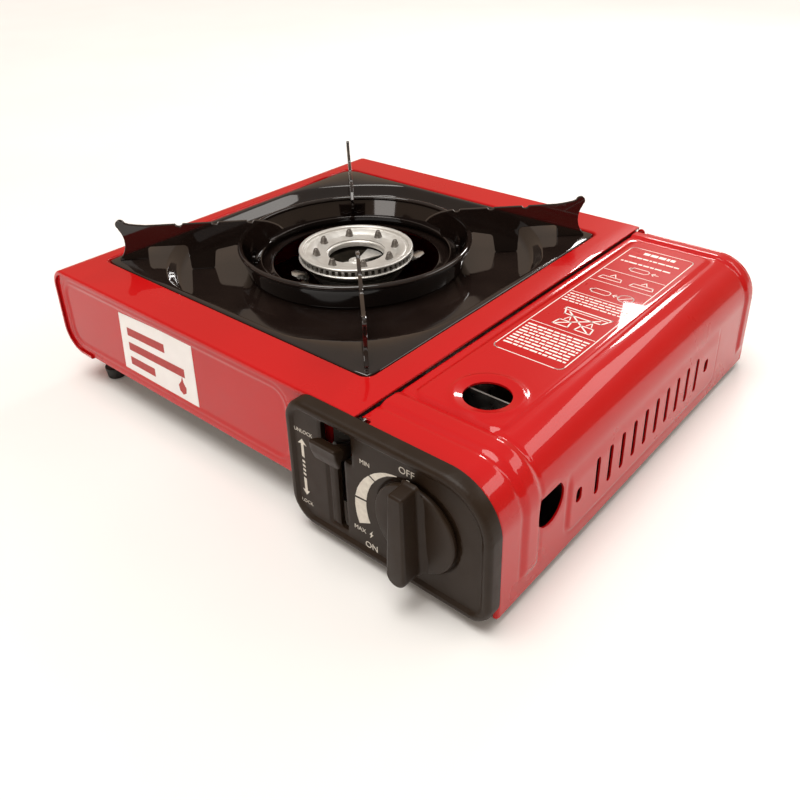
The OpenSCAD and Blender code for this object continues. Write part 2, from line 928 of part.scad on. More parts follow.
// Cam that winds outwards as the knob turns, so that the plunger is driven steadily
module spark_cam() {
    steps = 28;
    high = cam_r + spark_stroke;
    rise = [for (i = [0 : steps])
        let (t = i / steps, a = 180 - knob_turn * t) (cam_r + spark_stroke * t) * [cos(a), sin(a)]];
    crest = arc([0, 0], high, 180 - knob_turn - 4, 12, 6);
    fall = [for (i = [1 : 6])
        let (t = i / 6, a = 12 - 32 * t) (high - spark_stroke * t) * [cos(a), sin(a)]];
    low = arc([0, 0], cam_r, -26, -174, 24);
    color("goldenrod")
        difference() {
            translate([stem_x, cam_y + 2.5, stem_z])
                rotate([90, 0, 0])
                    linear_extrude(5)
                        polygon(concat(rise, crest, fall, low));
            rod_y([stem_x, cam_y - 4, stem_z], stem_r, 8);
        }
}

// ---- Lock lever and cartridge pusher ----

// Turns and places children drawn along -Y so that they point up the slot at rest
module at_lever() {
    translate([0, lever_y, lever_z])
        rotate([-lever_half, 0, 0])
            children();
}

module lock_lever() {
    color("silver")
        difference() {
            at_lever()
                along_x(lever_x, lever_x + 2) {
                    circle(r = 6);
                    polygon([[0, -3.5], [0, 3.5], [-40, 3.5], [-40, -3.5]]);
                    polygon([[-3.4, 0], [3.4, 0], [3.4, crank_r], [-3.4, crank_r]]);
                    translate([0, crank_r])
                        circle(r = 3.4);
                }
            rod_x([lever_x - 1, lever_y, lever_z], pivot_r + fit, 4);
        }
}

module lever_handle() {
    paddle_at = 45;
    paddle_end = 51.8;
    color("#2c2219")
        at_lever()
            difference() {
                union() {
                    along_x(channel_x0 + 1.5, wall_x - 0.8)
                        polygon([[-33.5, -4], [-paddle_at, -4.6], [-paddle_at, 4.6], [-33.5, 4]]);
                    along_x(slot_x0 + 1.2, slot_x1 - 1.2)
                        polygon([[-paddle_at, -5], [-paddle_end, -2.2],
                            [-paddle_end, 2.2], [-paddle_at, 5]]);
                }
                span([lever_x, -40, -3.5], [lever_x + 2, 0, 3.5]);
            }
}

module crank_pin() {
    color("silver")
        at_lever()
            rod_x([lever_x + 2, 0, crank_r], crank_pin_r, 3.4);
}

module lever_pivot() {
    head_r = 4;
    color("silver") {
        rod_x([lever_x - 1.4, lever_y, lever_z], pivot_r, wall_x - lever_x + 1.4);
        rod_x([lever_x - 2.4, lever_y, lever_z], head_r, 1.6);
        rod_x([lever_x + 2.6, lever_y, lever_z], head_r, wall_x - lever_x - 2.6);
    }
}

module link_rod() {
    pin_z = lever_z + crank_r * cos(lever_half);
    slot_half = crank_pin_r + 0.45;
    pin_y = lever_y + crank_r * sin(lever_half);
    color("silver")
        difference() {
            span([rod_x, pin_y - 7, rod_low], [rod_x + rod_t, pusher_y + 4, rod_high]);
            hull() {
                for (z = [pin_z, lever_z + crank_r])
                    rod_x([rod_x - 1, pin_y, z], slot_half, rod_t + 2, $fn = 32);
            }
        }
}

guide_at = [burner_y - 20, burner_y + 60];
module rod_guides() {
    color("silver")
        for (y = guide_at)
            difference() {
                span([rod_x - 2, y, rod_low - 2], [wall_x, y + 10, rod_high + 2]);
                span([rod_x - gap, y - 1, rod_low - gap], [rod_x + rod_t + gap, y + 11, rod_high + gap]);
            }
}

module cartridge_pusher() {
    color("silver") {
        rod_y([socket_x, pusher_y, socket_z], 28, 2);
        span([rod_x + rod_t, pusher_y + 2, rod_low], [socket_x - 6, pusher_y + 4, rod_high]);
    }
}

case_wrap();
base_plate();
front_plate();
back_plate();
partition();
bay_tray();
bay_front_plate();
bay_end_plate();
regulator_bulkhead();
heat_plate();
feet();
case_screws();
control_panel();
cartridge_cover();
cover_ears();
hinge_pins();
drip_pan();
wind_ring();
support_left();
support_front();
support_right();
support_back();
support_tabs();
support_rivets();
burner_head();
burner_cup();
burner_studs();
burner_bridge();
burner_stand();
mixing_tube();
gas_jet();
regulator_body();
socket_collar();
locating_tab();
inlet_nipple();
electrode_ceramic();
electrode_pin();
electrode_bracket();
ignition_lead();
spark_igniter();
spark_plunger();
control_knob();
valve_stem();
spark_cam();
lock_lever();
lever_handle();
crank_pin();
lever_pivot();
link_rod();
rod_guides();
cartridge_pusher();
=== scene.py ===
import json
import random
from math import copysign, cos, exp, hypot, pi, radians, sin, sqrt
import bmesh
import bpy
from mathutils import Matrix, Vector


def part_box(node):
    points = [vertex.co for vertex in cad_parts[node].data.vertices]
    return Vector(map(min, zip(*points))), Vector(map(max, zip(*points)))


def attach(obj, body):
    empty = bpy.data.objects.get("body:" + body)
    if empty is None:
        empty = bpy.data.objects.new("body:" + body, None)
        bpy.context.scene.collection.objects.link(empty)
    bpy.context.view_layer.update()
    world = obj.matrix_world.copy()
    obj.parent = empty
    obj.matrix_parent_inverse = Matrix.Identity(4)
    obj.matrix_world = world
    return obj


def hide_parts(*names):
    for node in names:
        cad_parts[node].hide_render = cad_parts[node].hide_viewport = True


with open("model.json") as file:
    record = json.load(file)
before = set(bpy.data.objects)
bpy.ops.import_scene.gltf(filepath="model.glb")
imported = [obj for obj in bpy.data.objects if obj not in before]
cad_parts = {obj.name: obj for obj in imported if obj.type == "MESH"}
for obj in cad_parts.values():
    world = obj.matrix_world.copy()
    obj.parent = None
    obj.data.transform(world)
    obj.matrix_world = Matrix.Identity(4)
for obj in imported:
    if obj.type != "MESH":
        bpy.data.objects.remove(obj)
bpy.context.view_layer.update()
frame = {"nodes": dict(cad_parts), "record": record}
mm = 0.001


def boxMm(node):
    low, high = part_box(node)
    return low / mm, high / mm


def addToScene(name, data):
    added = bpy.data.objects.new(name, data)
    bpy.context.scene.collection.objects.link(added)
    return added


wrapLow, wrapHigh = boxMm("case_wrap")
coverLow, coverHigh = boxMm("cartridge_cover")
plateLow, plateHigh = boxMm("front_plate")
panLow, panHigh = boxMm("drip_pan")
ringLow, ringHigh = boxMm("wind_ring")
headLow, headHigh = boxMm("burner_head")
panelLow, panelHigh = boxMm("control_panel")
knobLow, knobHigh = boxMm("control_knob")
burnerX = (ringLow.x + ringHigh.x) / 2
burnerY = (ringLow.y + ringHigh.y) / 2
knobMiddle = ((knobLow.x + knobHigh.x) / 2, (knobLow.z + knobHigh.z) / 2)
print("frame loaded,", len(frame["nodes"]), "CAD nodes")

cameraSetup = {
    "place": (304.38, -215.28, 289.35),      # mm: from the middle, from the case's front, from the floor
    "turn": 41.066,      # degrees round Z from looking along +Y
    "down": 28.572,      # degrees below level
    "roll": -1.551,
    "lens": 37.811, "sensor": 36,      # mm
    "shiftUp": -0.1,
    "nearest": 0.01,     # metres
}


def placeCamera(setup):
    data = bpy.data.cameras.new("camera")
    data.lens, data.sensor_width = setup["lens"], setup["sensor"]
    data.shift_y = setup["shiftUp"]
    data.clip_start = setup["nearest"]
    turn = Matrix.Rotation(radians(setup["turn"]), 4, "Z")
    tilt = Matrix.Rotation(radians(90 - setup["down"]), 4, "X")
    roll = Matrix.Rotation(radians(setup["roll"]), 4, "Z")
    x, y, z = setup["place"]
    camera = addToScene("camera", data)
    camera.matrix_world = Matrix.Translation((x * mm, (wrapLow.y + y) * mm, z * mm)) @ turn @ tilt @ roll
    bpy.context.scene.camera = camera


lightSetup = [
    # name, place, aim, width, depth, watts, colour
    ("backSoftbox", (0.75, 0.95, 0.95), (0.05, 0.0, 0.06), 1.1, 0.35, 4.5, (1.0, 0.97, 0.93)),
    ("windowSoftbox", (-0.25, 1.15, 0.75), (-0.04, 0.0, 0.07), 0.24, 0.14, 2.6, (1.0, 0.98, 0.96)),
    ("frontFill", (0.2, -1.4, 0.6), (0.0, -0.1, 0.05), 0.6, 0.4, 3.0, (1.0, 0.95, 0.9)),
]

sunSetup = {"turn": (9, -5, 0), "strength": 2.5, "wide": 40, "colour": (1.0, 0.965, 0.92)}


def placeLights(lamps, sun):
    for name, place, aim, width, depth, watts, colour in lamps:
        data = bpy.data.lights.new(name, "AREA")
        data.shape = "RECTANGLE"
        data.size, data.size_y = width, depth
        data.energy, data.color = watts, colour
        lamp = addToScene(name, data)
        lamp.location = place
        lamp.rotation_euler = (Vector(aim) - Vector(place)).to_track_quat("-Z", "Y").to_euler()
    data = bpy.data.lights.new("sun", "SUN")
    data.energy, data.color = sun["strength"], sun["colour"]
    data.angle = radians(sun["wide"])
    addToScene("sun", data).rotation_euler = [radians(t) for t in sun["turn"]]


studioSky = [(0.3, (0.33, 0.245, 0.18)), (0.85, (0.44, 0.41, 0.38))]      # place on the ramp, colour


def placeStudio(sky):
    world = bpy.data.worlds.new("studio")
    bpy.context.scene.world = world
    world.use_nodes = True
    tree = world.node_tree
    tree.nodes.clear()
    out, glow, where, split, ramp = [tree.nodes.new("ShaderNode" + kind) for kind in (
        "OutputWorld", "Background", "TexCoord", "SeparateXYZ", "ValToRGB")]
    for stop, (at, colour) in zip(ramp.color_ramp.elements, sky):
        stop.position, stop.color = at, (*colour, 1)
    tree.links.new(where.outputs["Generated"], split.inputs[0])
    tree.links.new(split.outputs["Z"], ramp.inputs[0])
    tree.links.new(ramp.outputs[0], glow.inputs["Color"])
    tree.links.new(glow.outputs[0], out.inputs[0])
    bpy.context.scene.view_settings.view_transform = "Standard"


plainShader = {
    "Metallic": 0, "Coat Weight": 0, "Coat Roughness": 0.03, "IOR": 1.45, "Specular IOR Level": 0.5,
}


def noiseInto(tree, where, scale, detail=3.0, stretch=None):
    grain = tree.nodes.new("ShaderNodeTexNoise")
    grain.inputs["Scale"].default_value = scale
    grain.inputs["Detail"].default_value = detail
    source = where.outputs["Object"]
    if stretch:
        turned = tree.nodes.new("ShaderNodeMapping")
        turned.inputs["Scale"].default_value = stretch
        tree.links.new(source, turned.inputs["Vector"])
        source = turned.outputs[0]
    tree.links.new(source, grain.inputs["Vector"])
    return grain.outputs["Fac"]


def spread(tree, source, low, high):
    fitted = tree.nodes.new("ShaderNodeMapRange")
    for socket, value in zip(("From Min", "From Max", "To Min", "To Max"), (0.3, 0.7, low, high)):
        fitted.inputs[socket].default_value = value
    tree.links.new(source, fitted.inputs["Value"])
    return fitted.outputs[0]


# colours are linear, scales per metre, bumpDeep in mm; more names sockets of the shader
def surface(name, colour, second, patchScale, rough, roughScale, grainScale, bump, bumpDeep,
            more={}, stretch=None):
    made = bpy.data.materials.new(name)
    made.use_nodes = True
    tree = made.node_tree
    shader = tree.nodes["Principled BSDF"]
    where = tree.nodes.new("ShaderNodeTexCoord")
    patches = noiseInto(tree, where, patchScale)
    blend = tree.nodes.new("ShaderNodeMix")
    blend.data_type = "RGBA"
    blend.inputs[6].default_value = (*colour, 1)
    blend.inputs[7].default_value = (*second, 1)
    tree.links.new(spread(tree, patches, 0, 1), blend.inputs[0])
    tree.links.new(blend.outputs[2], shader.inputs["Base Color"])
    worn = noiseInto(tree, where, roughScale, 4, stretch)
    tree.links.new(spread(tree, worn, *rough), shader.inputs["Roughness"])
    grain = noiseInto(tree, where, grainScale, 2, stretch)
    raised = tree.nodes.new("ShaderNodeBump")
    raised.inputs["Strength"].default_value = bump
    raised.inputs["Distance"].default_value = bumpDeep * mm
    tree.links.new(grain, raised.inputs["Height"])
    tree.links.new(raised.outputs[0], shader.inputs["Normal"])
    for socket, value in {**plainShader, **more}.items():
        shader.inputs[socket].default_value = value
    return made


finishes = {
    # colour, second colour, patch scale, roughness, its scale, grain scale, bump, its depth, more
    "redEnamel": ((0.46, 0.0035, 0.004), (0.52, 0.005, 0.006), 9, (0.26, 0.34), 25, 240, 0.1, 0.02,
        {"Coat Weight": 0.65, "Coat Roughness": 0.025, "Specular IOR Level": 0.08}),
    "blackEnamel": ((0.01, 0.006, 0.005), (0.016, 0.01, 0.008), 40, (0.05, 0.1), 40, 200, 0.15, 0.02,
        {"Coat Weight": 0.35, "Coat Roughness": 0.02}),
    "panelPlastic": ((0.017, 0.0095, 0.005), (0.023, 0.013, 0.007), 30, (0.36, 0.46), 160, 2600, 0.35,
        0.03, {"Specular IOR Level": 0.25}),
    "platedSteel": ((0.4, 0.39, 0.37), (0.3, 0.29, 0.28), 45, (0.26, 0.42), 220, 900, 0.3, 0.02,
        {"Metallic": 1}, (1, 8, 1)),
    "brightSteel": ((0.86, 0.85, 0.82), (0.74, 0.73, 0.7), 60, (0.18, 0.3), 220, 900, 0.3, 0.02,
        {"Metallic": 1}, (8, 1, 1)),
    "burnerAluminium": ((0.8, 0.79, 0.76), (0.68, 0.67, 0.64), 50, (0.34, 0.48), 300, 1300, 0.4, 0.03,
        {"Metallic": 0.75}),
    "studSteel": ((0.13, 0.12, 0.11), (0.27, 0.25, 0.23), 700, (0.35, 0.6), 900, 1800, 0.5, 0.06,
        {"Metallic": 0.9}),
    # dark metal for the burner's cup, stand and heat plate; the same finish paints shade on the ring behind
    # the burner's teeth
    "darkMetalAndPaintedShade": ((0.035, 0.03, 0.024), (0.07, 0.06, 0.045), 220, (0.5, 0.7), 400, 1200, 0.4, 0.05,
        {"Metallic": 0.5}),
    "turnedBrass": ((0.72, 0.48, 0.18), (0.62, 0.41, 0.15), 80, (0.2, 0.35), 300, 1500, 0.3, 0.02,
        {"Metallic": 1}),
    "castZinc": ((0.46, 0.46, 0.45), (0.37, 0.37, 0.36), 90, (0.45, 0.62), 400, 800, 0.5, 0.08,
        {"Metallic": 0.9}),
    "footRubber": ((0.012, 0.011, 0.01), (0.02, 0.018, 0.016), 120, (0.55, 0.72), 400, 1500, 0.4, 0.05),
    "glazedCeramic": ((0.8, 0.74, 0.64), (0.52, 0.33, 0.2), 130, (0.18, 0.3), 300, 900, 0.2, 0.02,
        {"Coat Weight": 0.4}),
    "leadSleeve": ((0.42, 0.02, 0.02), (0.33, 0.015, 0.015), 200, (0.4, 0.5), 300, 1500, 0.2, 0.02),
    "igniterPlastic": ((0.035, 0.035, 0.038), (0.05, 0.05, 0.054), 90, (0.35, 0.46), 300, 2200, 0.3,
        0.02),
    "printIvory": ((0.72, 0.68, 0.6), (0.6, 0.56, 0.49), 500, (0.45, 0.6), 600, 3000, 0.2, 0.01),
    "printWhite": ((0.93, 0.9, 0.86), (0.84, 0.78, 0.73), 500, (0.4, 0.55), 600, 3000, 0.2, 0.01),
    "labelVinyl": ((0.92, 0.91, 0.9), (0.86, 0.85, 0.84), 60, (0.3, 0.42), 200, 700, 0.15, 0.02),
    "labelRed": ((0.45, 0.02, 0.015), (0.38, 0.015, 0.012), 300, (0.35, 0.45), 400, 2000, 0.15, 0.01),
}
finish = {name: surface(name, *look) for name, look in finishes.items()}

slotFinish = {
    "red_enamel": "redEnamel", "black_enamel": "blackEnamel", "panel_plastic": "panelPlastic",
    "plated_steel": "platedSteel", "burner_aluminium": "burnerAluminium", "stud_steel": "studSteel",
    "brass": "turnedBrass", "cast_zinc": "castZinc", "foot_rubber": "footRubber",
    "ceramic": "glazedCeramic", "lead_sleeve": "leadSleeve", "igniter_plastic": "igniterPlastic",
}
nodeFinish = {"burner_cup": "darkMetalAndPaintedShade", "burner_stand": "darkMetalAndPaintedShade", "heat_plate": "darkMetalAndPaintedShade"}


def dressCad():
    slots = {part["node"]: part["material_slot"] for part in frame["record"]["subparts"]}
    for name, node in frame["nodes"].items():
        chosen = finish[nodeFinish.get(name, slotFinish[slots[name]])]
        if not node.material_slots:
            node.data.materials.append(chosen)
        for held in node.material_slots:
            held.material = chosen


# points of an arc in a plane, in degrees, both ends included
def arc(centre, radius, start, end, steps):
    turns = [radians(start + (end - start) * i / steps) for i in range(steps + 1)]
    return [(centre[0] + radius * cos(t), centre[1] + radius * sin(t)) for t in turns]


# signed distance to a rounded rectangle, below zero inside
def boxDistance(u, v, centre, half, radius):
    du = abs(u - centre[0]) - half[0] + radius
    dv = abs(v - centre[1]) - half[1] + radius
    return hypot(max(du, 0), max(dv, 0)) + min(max(du, dv), 0) - radius


# middle and half size of a rectangle from its edges
def midHalf(left, right, low, high):
    return ((left + right) / 2, (low + high) / 2), ((right - left) / 2, (high - low) / 2)


def circleDistance(u, v, centre, radius):
    return hypot(u - centre[0], v - centre[1]) - radius


def aroundBurner(r, t, z):
    return burnerX + r * cos(t), burnerY + r * sin(t), z


# point and outward normal on a bend that runs along Y
def onBend(x, y, z, radius, t):
    out = Vector((cos(t), 0, sin(t)))
    return Vector((x, y, z)) + out * radius, out


# groove or ridge across a pressed line, 1 at the line
def crease(distance, wide):
    return exp(-(distance / wide) ** 2)


def onFront(y):
    return lambda x, z: (Vector((x, y, z)), Vector((0, -1, 0)))


def smooth(value, low, high):
    t = min(max((value - low) / (high - low), 0), 1)
    return t * t * (3 - 2 * t)


# how far a rounded edge has dropped at a distance from the edge
def rounding(distance, radius):
    if distance >= radius:
        return 0
    return radius - sqrt(max(radius ** 2 - (radius - distance) ** 2, 0))


# places of grid lines, closer together near the marks, and one on each mark
def gridLines(start, end, step, marks=(), fine=0.5, reach=3):
    found = [start]
    inside = sorted(m for m in marks if start < m < end)
    while found[-1] < end - 1e-6:
        here = found[-1]
        near = any(abs(here - m) < reach or 0 < m - here < reach + step for m in marks)
        follow = here + (fine if near else step)
        for m in inside:
            if here + 1e-6 < m < follow:
                follow = m
        found.append(min(follow, end))
    return found


def ontoEdge(room, u, v):
    for _ in range(4):
        d = room(u, v)
        gu = (room(u + 0.01, v) - room(u - 0.01, v)) / 0.02
        gv = (room(u, v + 0.01) - room(u, v - 0.01)) / 0.02
        size = max(gu * gu + gv * gv, 0.05)
        u, v = u - d * gu / size, v - d * gv / size
    return u, v


# a sheet over a grid: place gives its point and normal, lift its pressed height, and
# room is above zero where there is metal
def pressedSheet(bm, us, vs, place, lift, room, thick):
    nu, nv = len(us) - 1, len(vs) - 1
    keep = [[room((us[i] + us[i + 1]) / 2, (vs[j] + vs[j + 1]) / 2) > 0 for j in range(nv)]
            for i in range(nu)]
    top, under = {}, {}

    def corner(i, j):
        if (i, j) in top:
            return
        cells = [keep[a][b] for a in (i - 1, i) for b in (j - 1, j) if 0 <= a < nu and 0 <= b < nv]
        u, v = us[i], vs[j]
        if not all(cells) or room(u, v) < 0:
            u, v = ontoEdge(room, u, v)
        point, normal = place(u, v)
        height = lift(u, v)
        top[i, j] = bm.verts.new((point + normal * height) * mm)
        under[i, j] = bm.verts.new((point + normal * (height - thick(u, v))) * mm)

    for i in range(nu):
        for j in range(nv):
            if not keep[i][j]:
                continue
            ring = [(i, j), (i + 1, j), (i + 1, j + 1), (i, j + 1)]
            for at in ring:
                corner(*at)
            bm.faces.new([top[at] for at in ring])
            bm.faces.new([under[at] for at in reversed(ring)])
            beside = [(i, j - 1), (i + 1, j), (i, j + 1), (i - 1, j)]
            for k, (a, b) in enumerate(beside):
                if not (0 <= a < nu and 0 <= b < nv) or not keep[a][b]:
                    p, q = ring[k], ring[(k + 1) % 4]
                    bm.faces.new([top[q], top[p], under[p], under[q]])


# skin over rings of points; the rings have the same count
def loft(bm, rings, closed=True, caps=False):
    made = [[bm.verts.new(Vector(p) * mm) for p in ring] for ring in rings]
    count = len(made[0])
    for a, b in zip(made, made[1:]):
        for i in range(count if closed else count - 1):
            j = (i + 1) % count
            bm.faces.new((a[i], a[j], b[j], b[i]))
    if caps:
        bm.faces.new(list(reversed(made[0])))
        bm.faces.new(made[-1])


# turns a closed outline of (radius, height) round a vertical axis
def spin(bm, profile, centre, count=128):
    rings = []
    for k in range(count + 1):
        t = 2 * pi * k / count
        rings.append([(centre[0] + r * cos(t), centre[1] + r * sin(t), z) for r, z in profile])
    loft(bm, rings)


# extrudes an outline: place turns (u, v, depth) into a point
def slab(bm, outline, place, deep):
    rings = [[place(u, v, d) for u, v in outline] for d in (0, deep)]
    loft(bm, rings, caps=True)


def makePiece(name, bm, finishName, body, replaced=(), sharp=38, bevel=0, steps=2):
    bmesh.ops.remove_doubles(bm, verts=bm.verts, dist=2e-6)
    bmesh.ops.dissolve_degenerate(bm, edges=bm.edges, dist=1e-6)
    bmesh.ops.recalc_face_normals(bm, faces=bm.faces)
    mesh = bpy.data.meshes.new(name)
    bm.to_mesh(mesh)
    bm.free()
    piece = addToScene(name, mesh)
    mesh.materials.append(finish[finishName])
    if bevel:
        edge = piece.modifiers.new("edge", "BEVEL")
        edge.width = bevel * mm
        edge.segments = steps
        edge.limit_method = "ANGLE"
        edge.angle_limit = radians(42)
        bpy.context.view_layer.update()
        ready = piece.evaluated_get(bpy.context.evaluated_depsgraph_get())
        rounded = bpy.data.meshes.new_from_object(ready)
        piece.modifiers.clear()
        piece.data = rounded
        mesh = rounded
    mesh.polygons.foreach_set("use_smooth", [True] * len(mesh.polygons))
    mesh.set_sharp_from_angle(angle=radians(sharp))
    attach(piece, body)
    if replaced:
        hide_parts(*replaced)


# distance from the middle of a rounded square to its edge in one direction
def squareReach(turn, half, radius):
    c, s = abs(cos(turn)), abs(sin(turn))
    plain = half / max(c, s)
    x, y = plain * c, plain * s
    inner = half - radius
    if x > inner and y > inner:
        dot = inner * (c + s)
        return dot + sqrt(max(dot * dot - 2 * inner * inner + radius * radius, 0))
    return plain


wrapSheet = {
    "topRadius": 12, "lowRadius": 17, "lipReach": 9.5, "seamReach": 0.6, "seamRound": 0.5,
    "recessHalf": 110.5, "recessCorner": 5, "recessDeep": 2.8, "ledgeRadius": 120,
    "edgeRound": 1.4, "thick": 1.0, "hem": 2.1, "hemDeep": 1.4, "hemSoft": 0.6,
    "cell": 5, "bendCell": 1.5, "fineCell": 0.45, "fineReach": 5.5,
}


def squareRing(centre, half, radius, z, steps=10):
    points = []
    for sx, sy, start in ((1, 1, 0), (-1, 1, 90), (-1, -1, 180), (1, -1, 270)):
        middle = (centre[0] + sx * (half - radius), centre[1] + sy * (half - radius))
        points += [(x, y, z) for x, y in arc(middle, radius, start, start + 90, steps)]
    return points


def makeCaseWrap(w):
    seam, left, top, bottom = wrapHigh.x + w["seamReach"], wrapLow.x, wrapHigh.z, wrapLow.z
    upper, lower = w["topRadius"], w["lowRadius"]
    flat, bend = seam - left - upper, upper * pi / 2
    drop, curl = top - bottom - upper - lower, lower * pi / 2
    total = flat + bend + drop + curl + w["lipReach"]

    def place(s, y):
        if s <= flat:
            return Vector((seam - s, y, top)), Vector((0, 0, 1))
        s -= flat
        if s <= bend:
            return onBend(left + upper, y, top - upper, upper, pi / 2 + s / upper)
        s -= bend
        if s <= drop:
            return Vector((left, y, top - upper - s)), Vector((-1, 0, 0))
        s -= drop
        if s <= curl:
            return onBend(left + lower, y, bottom + lower, lower, pi + s / lower)
        return Vector((left + lower + s - curl, y, bottom)), Vector((0, 0, -1))

    def recess(s, y):
        return boxDistance(seam - s, y, (burnerX, burnerY), (w["recessHalf"],) * 2, w["recessCorner"])

    def lift(s, y):
        ends = min(y - wrapLow.y, wrapHigh.y - y)
        dropped = rounding(max(ends, 0), w["edgeRound"])
        if s < flat:
            dropped = max(dropped, rounding(max(recess(s, y), 0), w["edgeRound"]))
            dropped = max(dropped, rounding(s, w["seamRound"]))
        return -dropped

    def thick(s, y):
        ends = min(y - wrapLow.y, wrapHigh.y - y)
        return w["hem"] + lift(s, y) * w["hemSoft"] if ends < w["hemDeep"] else w["thick"]

    near = [seam - burnerX - w["recessHalf"], seam - burnerX + w["recessHalf"]]
    fine = (w["fineCell"], w["fineReach"])
    us = gridLines(0, flat - 2, w["cell"], near, *fine)
    us += gridLines(us[-1], total, w["bendCell"])[1:]
    sides = [burnerY - w["recessHalf"], burnerY + w["recessHalf"]]
    vs = gridLines(wrapLow.y, wrapHigh.y, w["cell"], sides + [wrapLow.y, wrapHigh.y], *fine)
    bm = bmesh.new()
    pressedSheet(bm, us, vs, place, lift, recess, thick)
    # the recess's own wall and the ledge under the pan's corners
    centre = (burnerX, burnerY)
    half, corner = w["recessHalf"], w["recessCorner"]
    high = top - w["edgeRound"]
    low = top - w["recessDeep"]
    path = [(half, high), (half, low + 1), (half - 1, low + 0.4), (half - 1, low - 0.6),
            (half + 1, low - 0.6), (half + 1, high - 1), (half, high)]
    loft(bm, [squareRing(centre, h, corner + h - half, z) for h, z in path])
    turns = [2 * pi * k / 192 for k in range(192)]
    edges = [squareReach(t, half, corner) for t in turns]
    ledge = []
    for drop, inward in ((0, False), (0, True), (1, True), (1, False), (0, False)):
        reach = [min(e - 0.2, w["ledgeRadius"]) if inward else e for e in edges]
        ledge.append([aroundBurner(r, t, low + 0.4 - drop) for r, t in zip(reach, turns)])
    loft(bm, ledge)
    makePiece("caseWrap", bm, "redEnamel", "root", ("case_wrap",))


frontSheet = {
    "gap": 0.45, "topRadius": 11, "lowRadius": 16, "fieldLeft": 6.5, "fieldRight": 42,
    "fieldTop": 5.2, "fieldLow": 4.5, "fieldRadius": 11, "press": 1.1, "slope": 3.2, "thick": 1.0,
    "past": 30,      # the plate runs on under the panel, so its right end has no corners
    "leverCut": ((82, 42), (10, 29.5), 1), "cutEdges": [75, 87],
}


def makeFrontPlate(f):
    left, right = plateLow.x + f["gap"], plateHigh.x
    low, high = plateLow.z + f["gap"], plateHigh.z - f["gap"]
    y = plateLow.y

    def room(x, z):
        wide = (left + right + 2 * f["past"]) / 2
        past, radius = (0, f["topRadius"]) if z > (low + high) / 2 else (f["past"], f["lowRadius"])
        body = boxDistance(x, z, (wide, (low + high) / 2 + past),
                           (wide - left, (high - low) / 2 + past), radius)
        return min(-body, boxDistance(x, z, *f["leverCut"]))

    field = midHalf(left + f["fieldLeft"], f["fieldRight"], low + f["fieldLow"], high - f["fieldTop"])

    def lift(x, z):
        d = boxDistance(x, z, *field, f["fieldRadius"])
        return -f["press"] * (1 - smooth(d, -f["slope"], 0)) * 0.8 - 0.35 * crease(d - 0.6, 1.1)

    us = gridLines(left, right, 3, [left, f["fieldRight"], left + f["fieldLeft"]] + f["cutEdges"], 0.8, 12)
    vs = gridLines(low, high, 0.8)
    bm = bmesh.new()
    pressedSheet(bm, us, vs, onFront(y), lift, room, lambda x, z: f["thick"])
    makePiece("frontPlate", bm, "redEnamel", "root", ("front_plate",))


coverSheet = {
    # places along Y are from the cover's front edge
    "shoulder": 25, "thick": 1.0, "edgeRound": 1.6,
    "beadAt": 23.5, "beadHalf": 7.2, "backBeadAt": 265.9, "beadRise": 1.0,
    "fieldFront": 31.7, "fieldBack": 258.4, "fieldLeft": 93.2, "fieldRight": 144.5, "fieldRise": 0.9,
    "topHole": (122.8, 52.2, 11.64), "ringRadius": 16.4, "ringRise": 0.8,
    "sideHole": (39.2, 41.4, 10.76),
    "slotFirst": 80.0, "slotPitch": 12.5, "slotCount": 10, "slotWide": 4.0, "slotLow": 21.5,
    "slotHigh": 43.0, "smallHoles": (62.7, 206.1), "smallSize": (2.6, 4.2),
    "panelFront": 53.9, "panelBack": 223.9, "panelLow": 12.5, "panelHigh": 77.5, "panelPress": 0.9,
    "corner": 7, "earNotch": (6.0, 4.2), "cell": 1.05, "bendCell": 1.3, "fineCell": 0.3,
}


# lengths along the cover's section: end of the top, end of the shoulder, end of the side
def coverDistances(c):
    flat = coverHigh.x - c["shoulder"] - coverLow.x
    bend = flat + c["shoulder"] * pi / 2
    return flat, bend, bend + coverHigh.z - c["shoulder"] - coverLow.z


def coverPoint(c, s, y):
    flat, bend, _ = coverDistances(c)
    top, right, r = coverHigh.z, coverHigh.x, c["shoulder"]
    if s <= flat:
        return Vector((coverLow.x + s, y, top)), Vector((0, 0, 1))
    if s <= bend:
        return onBend(right - r, y, top - r, r, pi / 2 - (s - flat) / r)
    return Vector((right, y, top - r - (s - bend))), Vector((1, 0, 0))


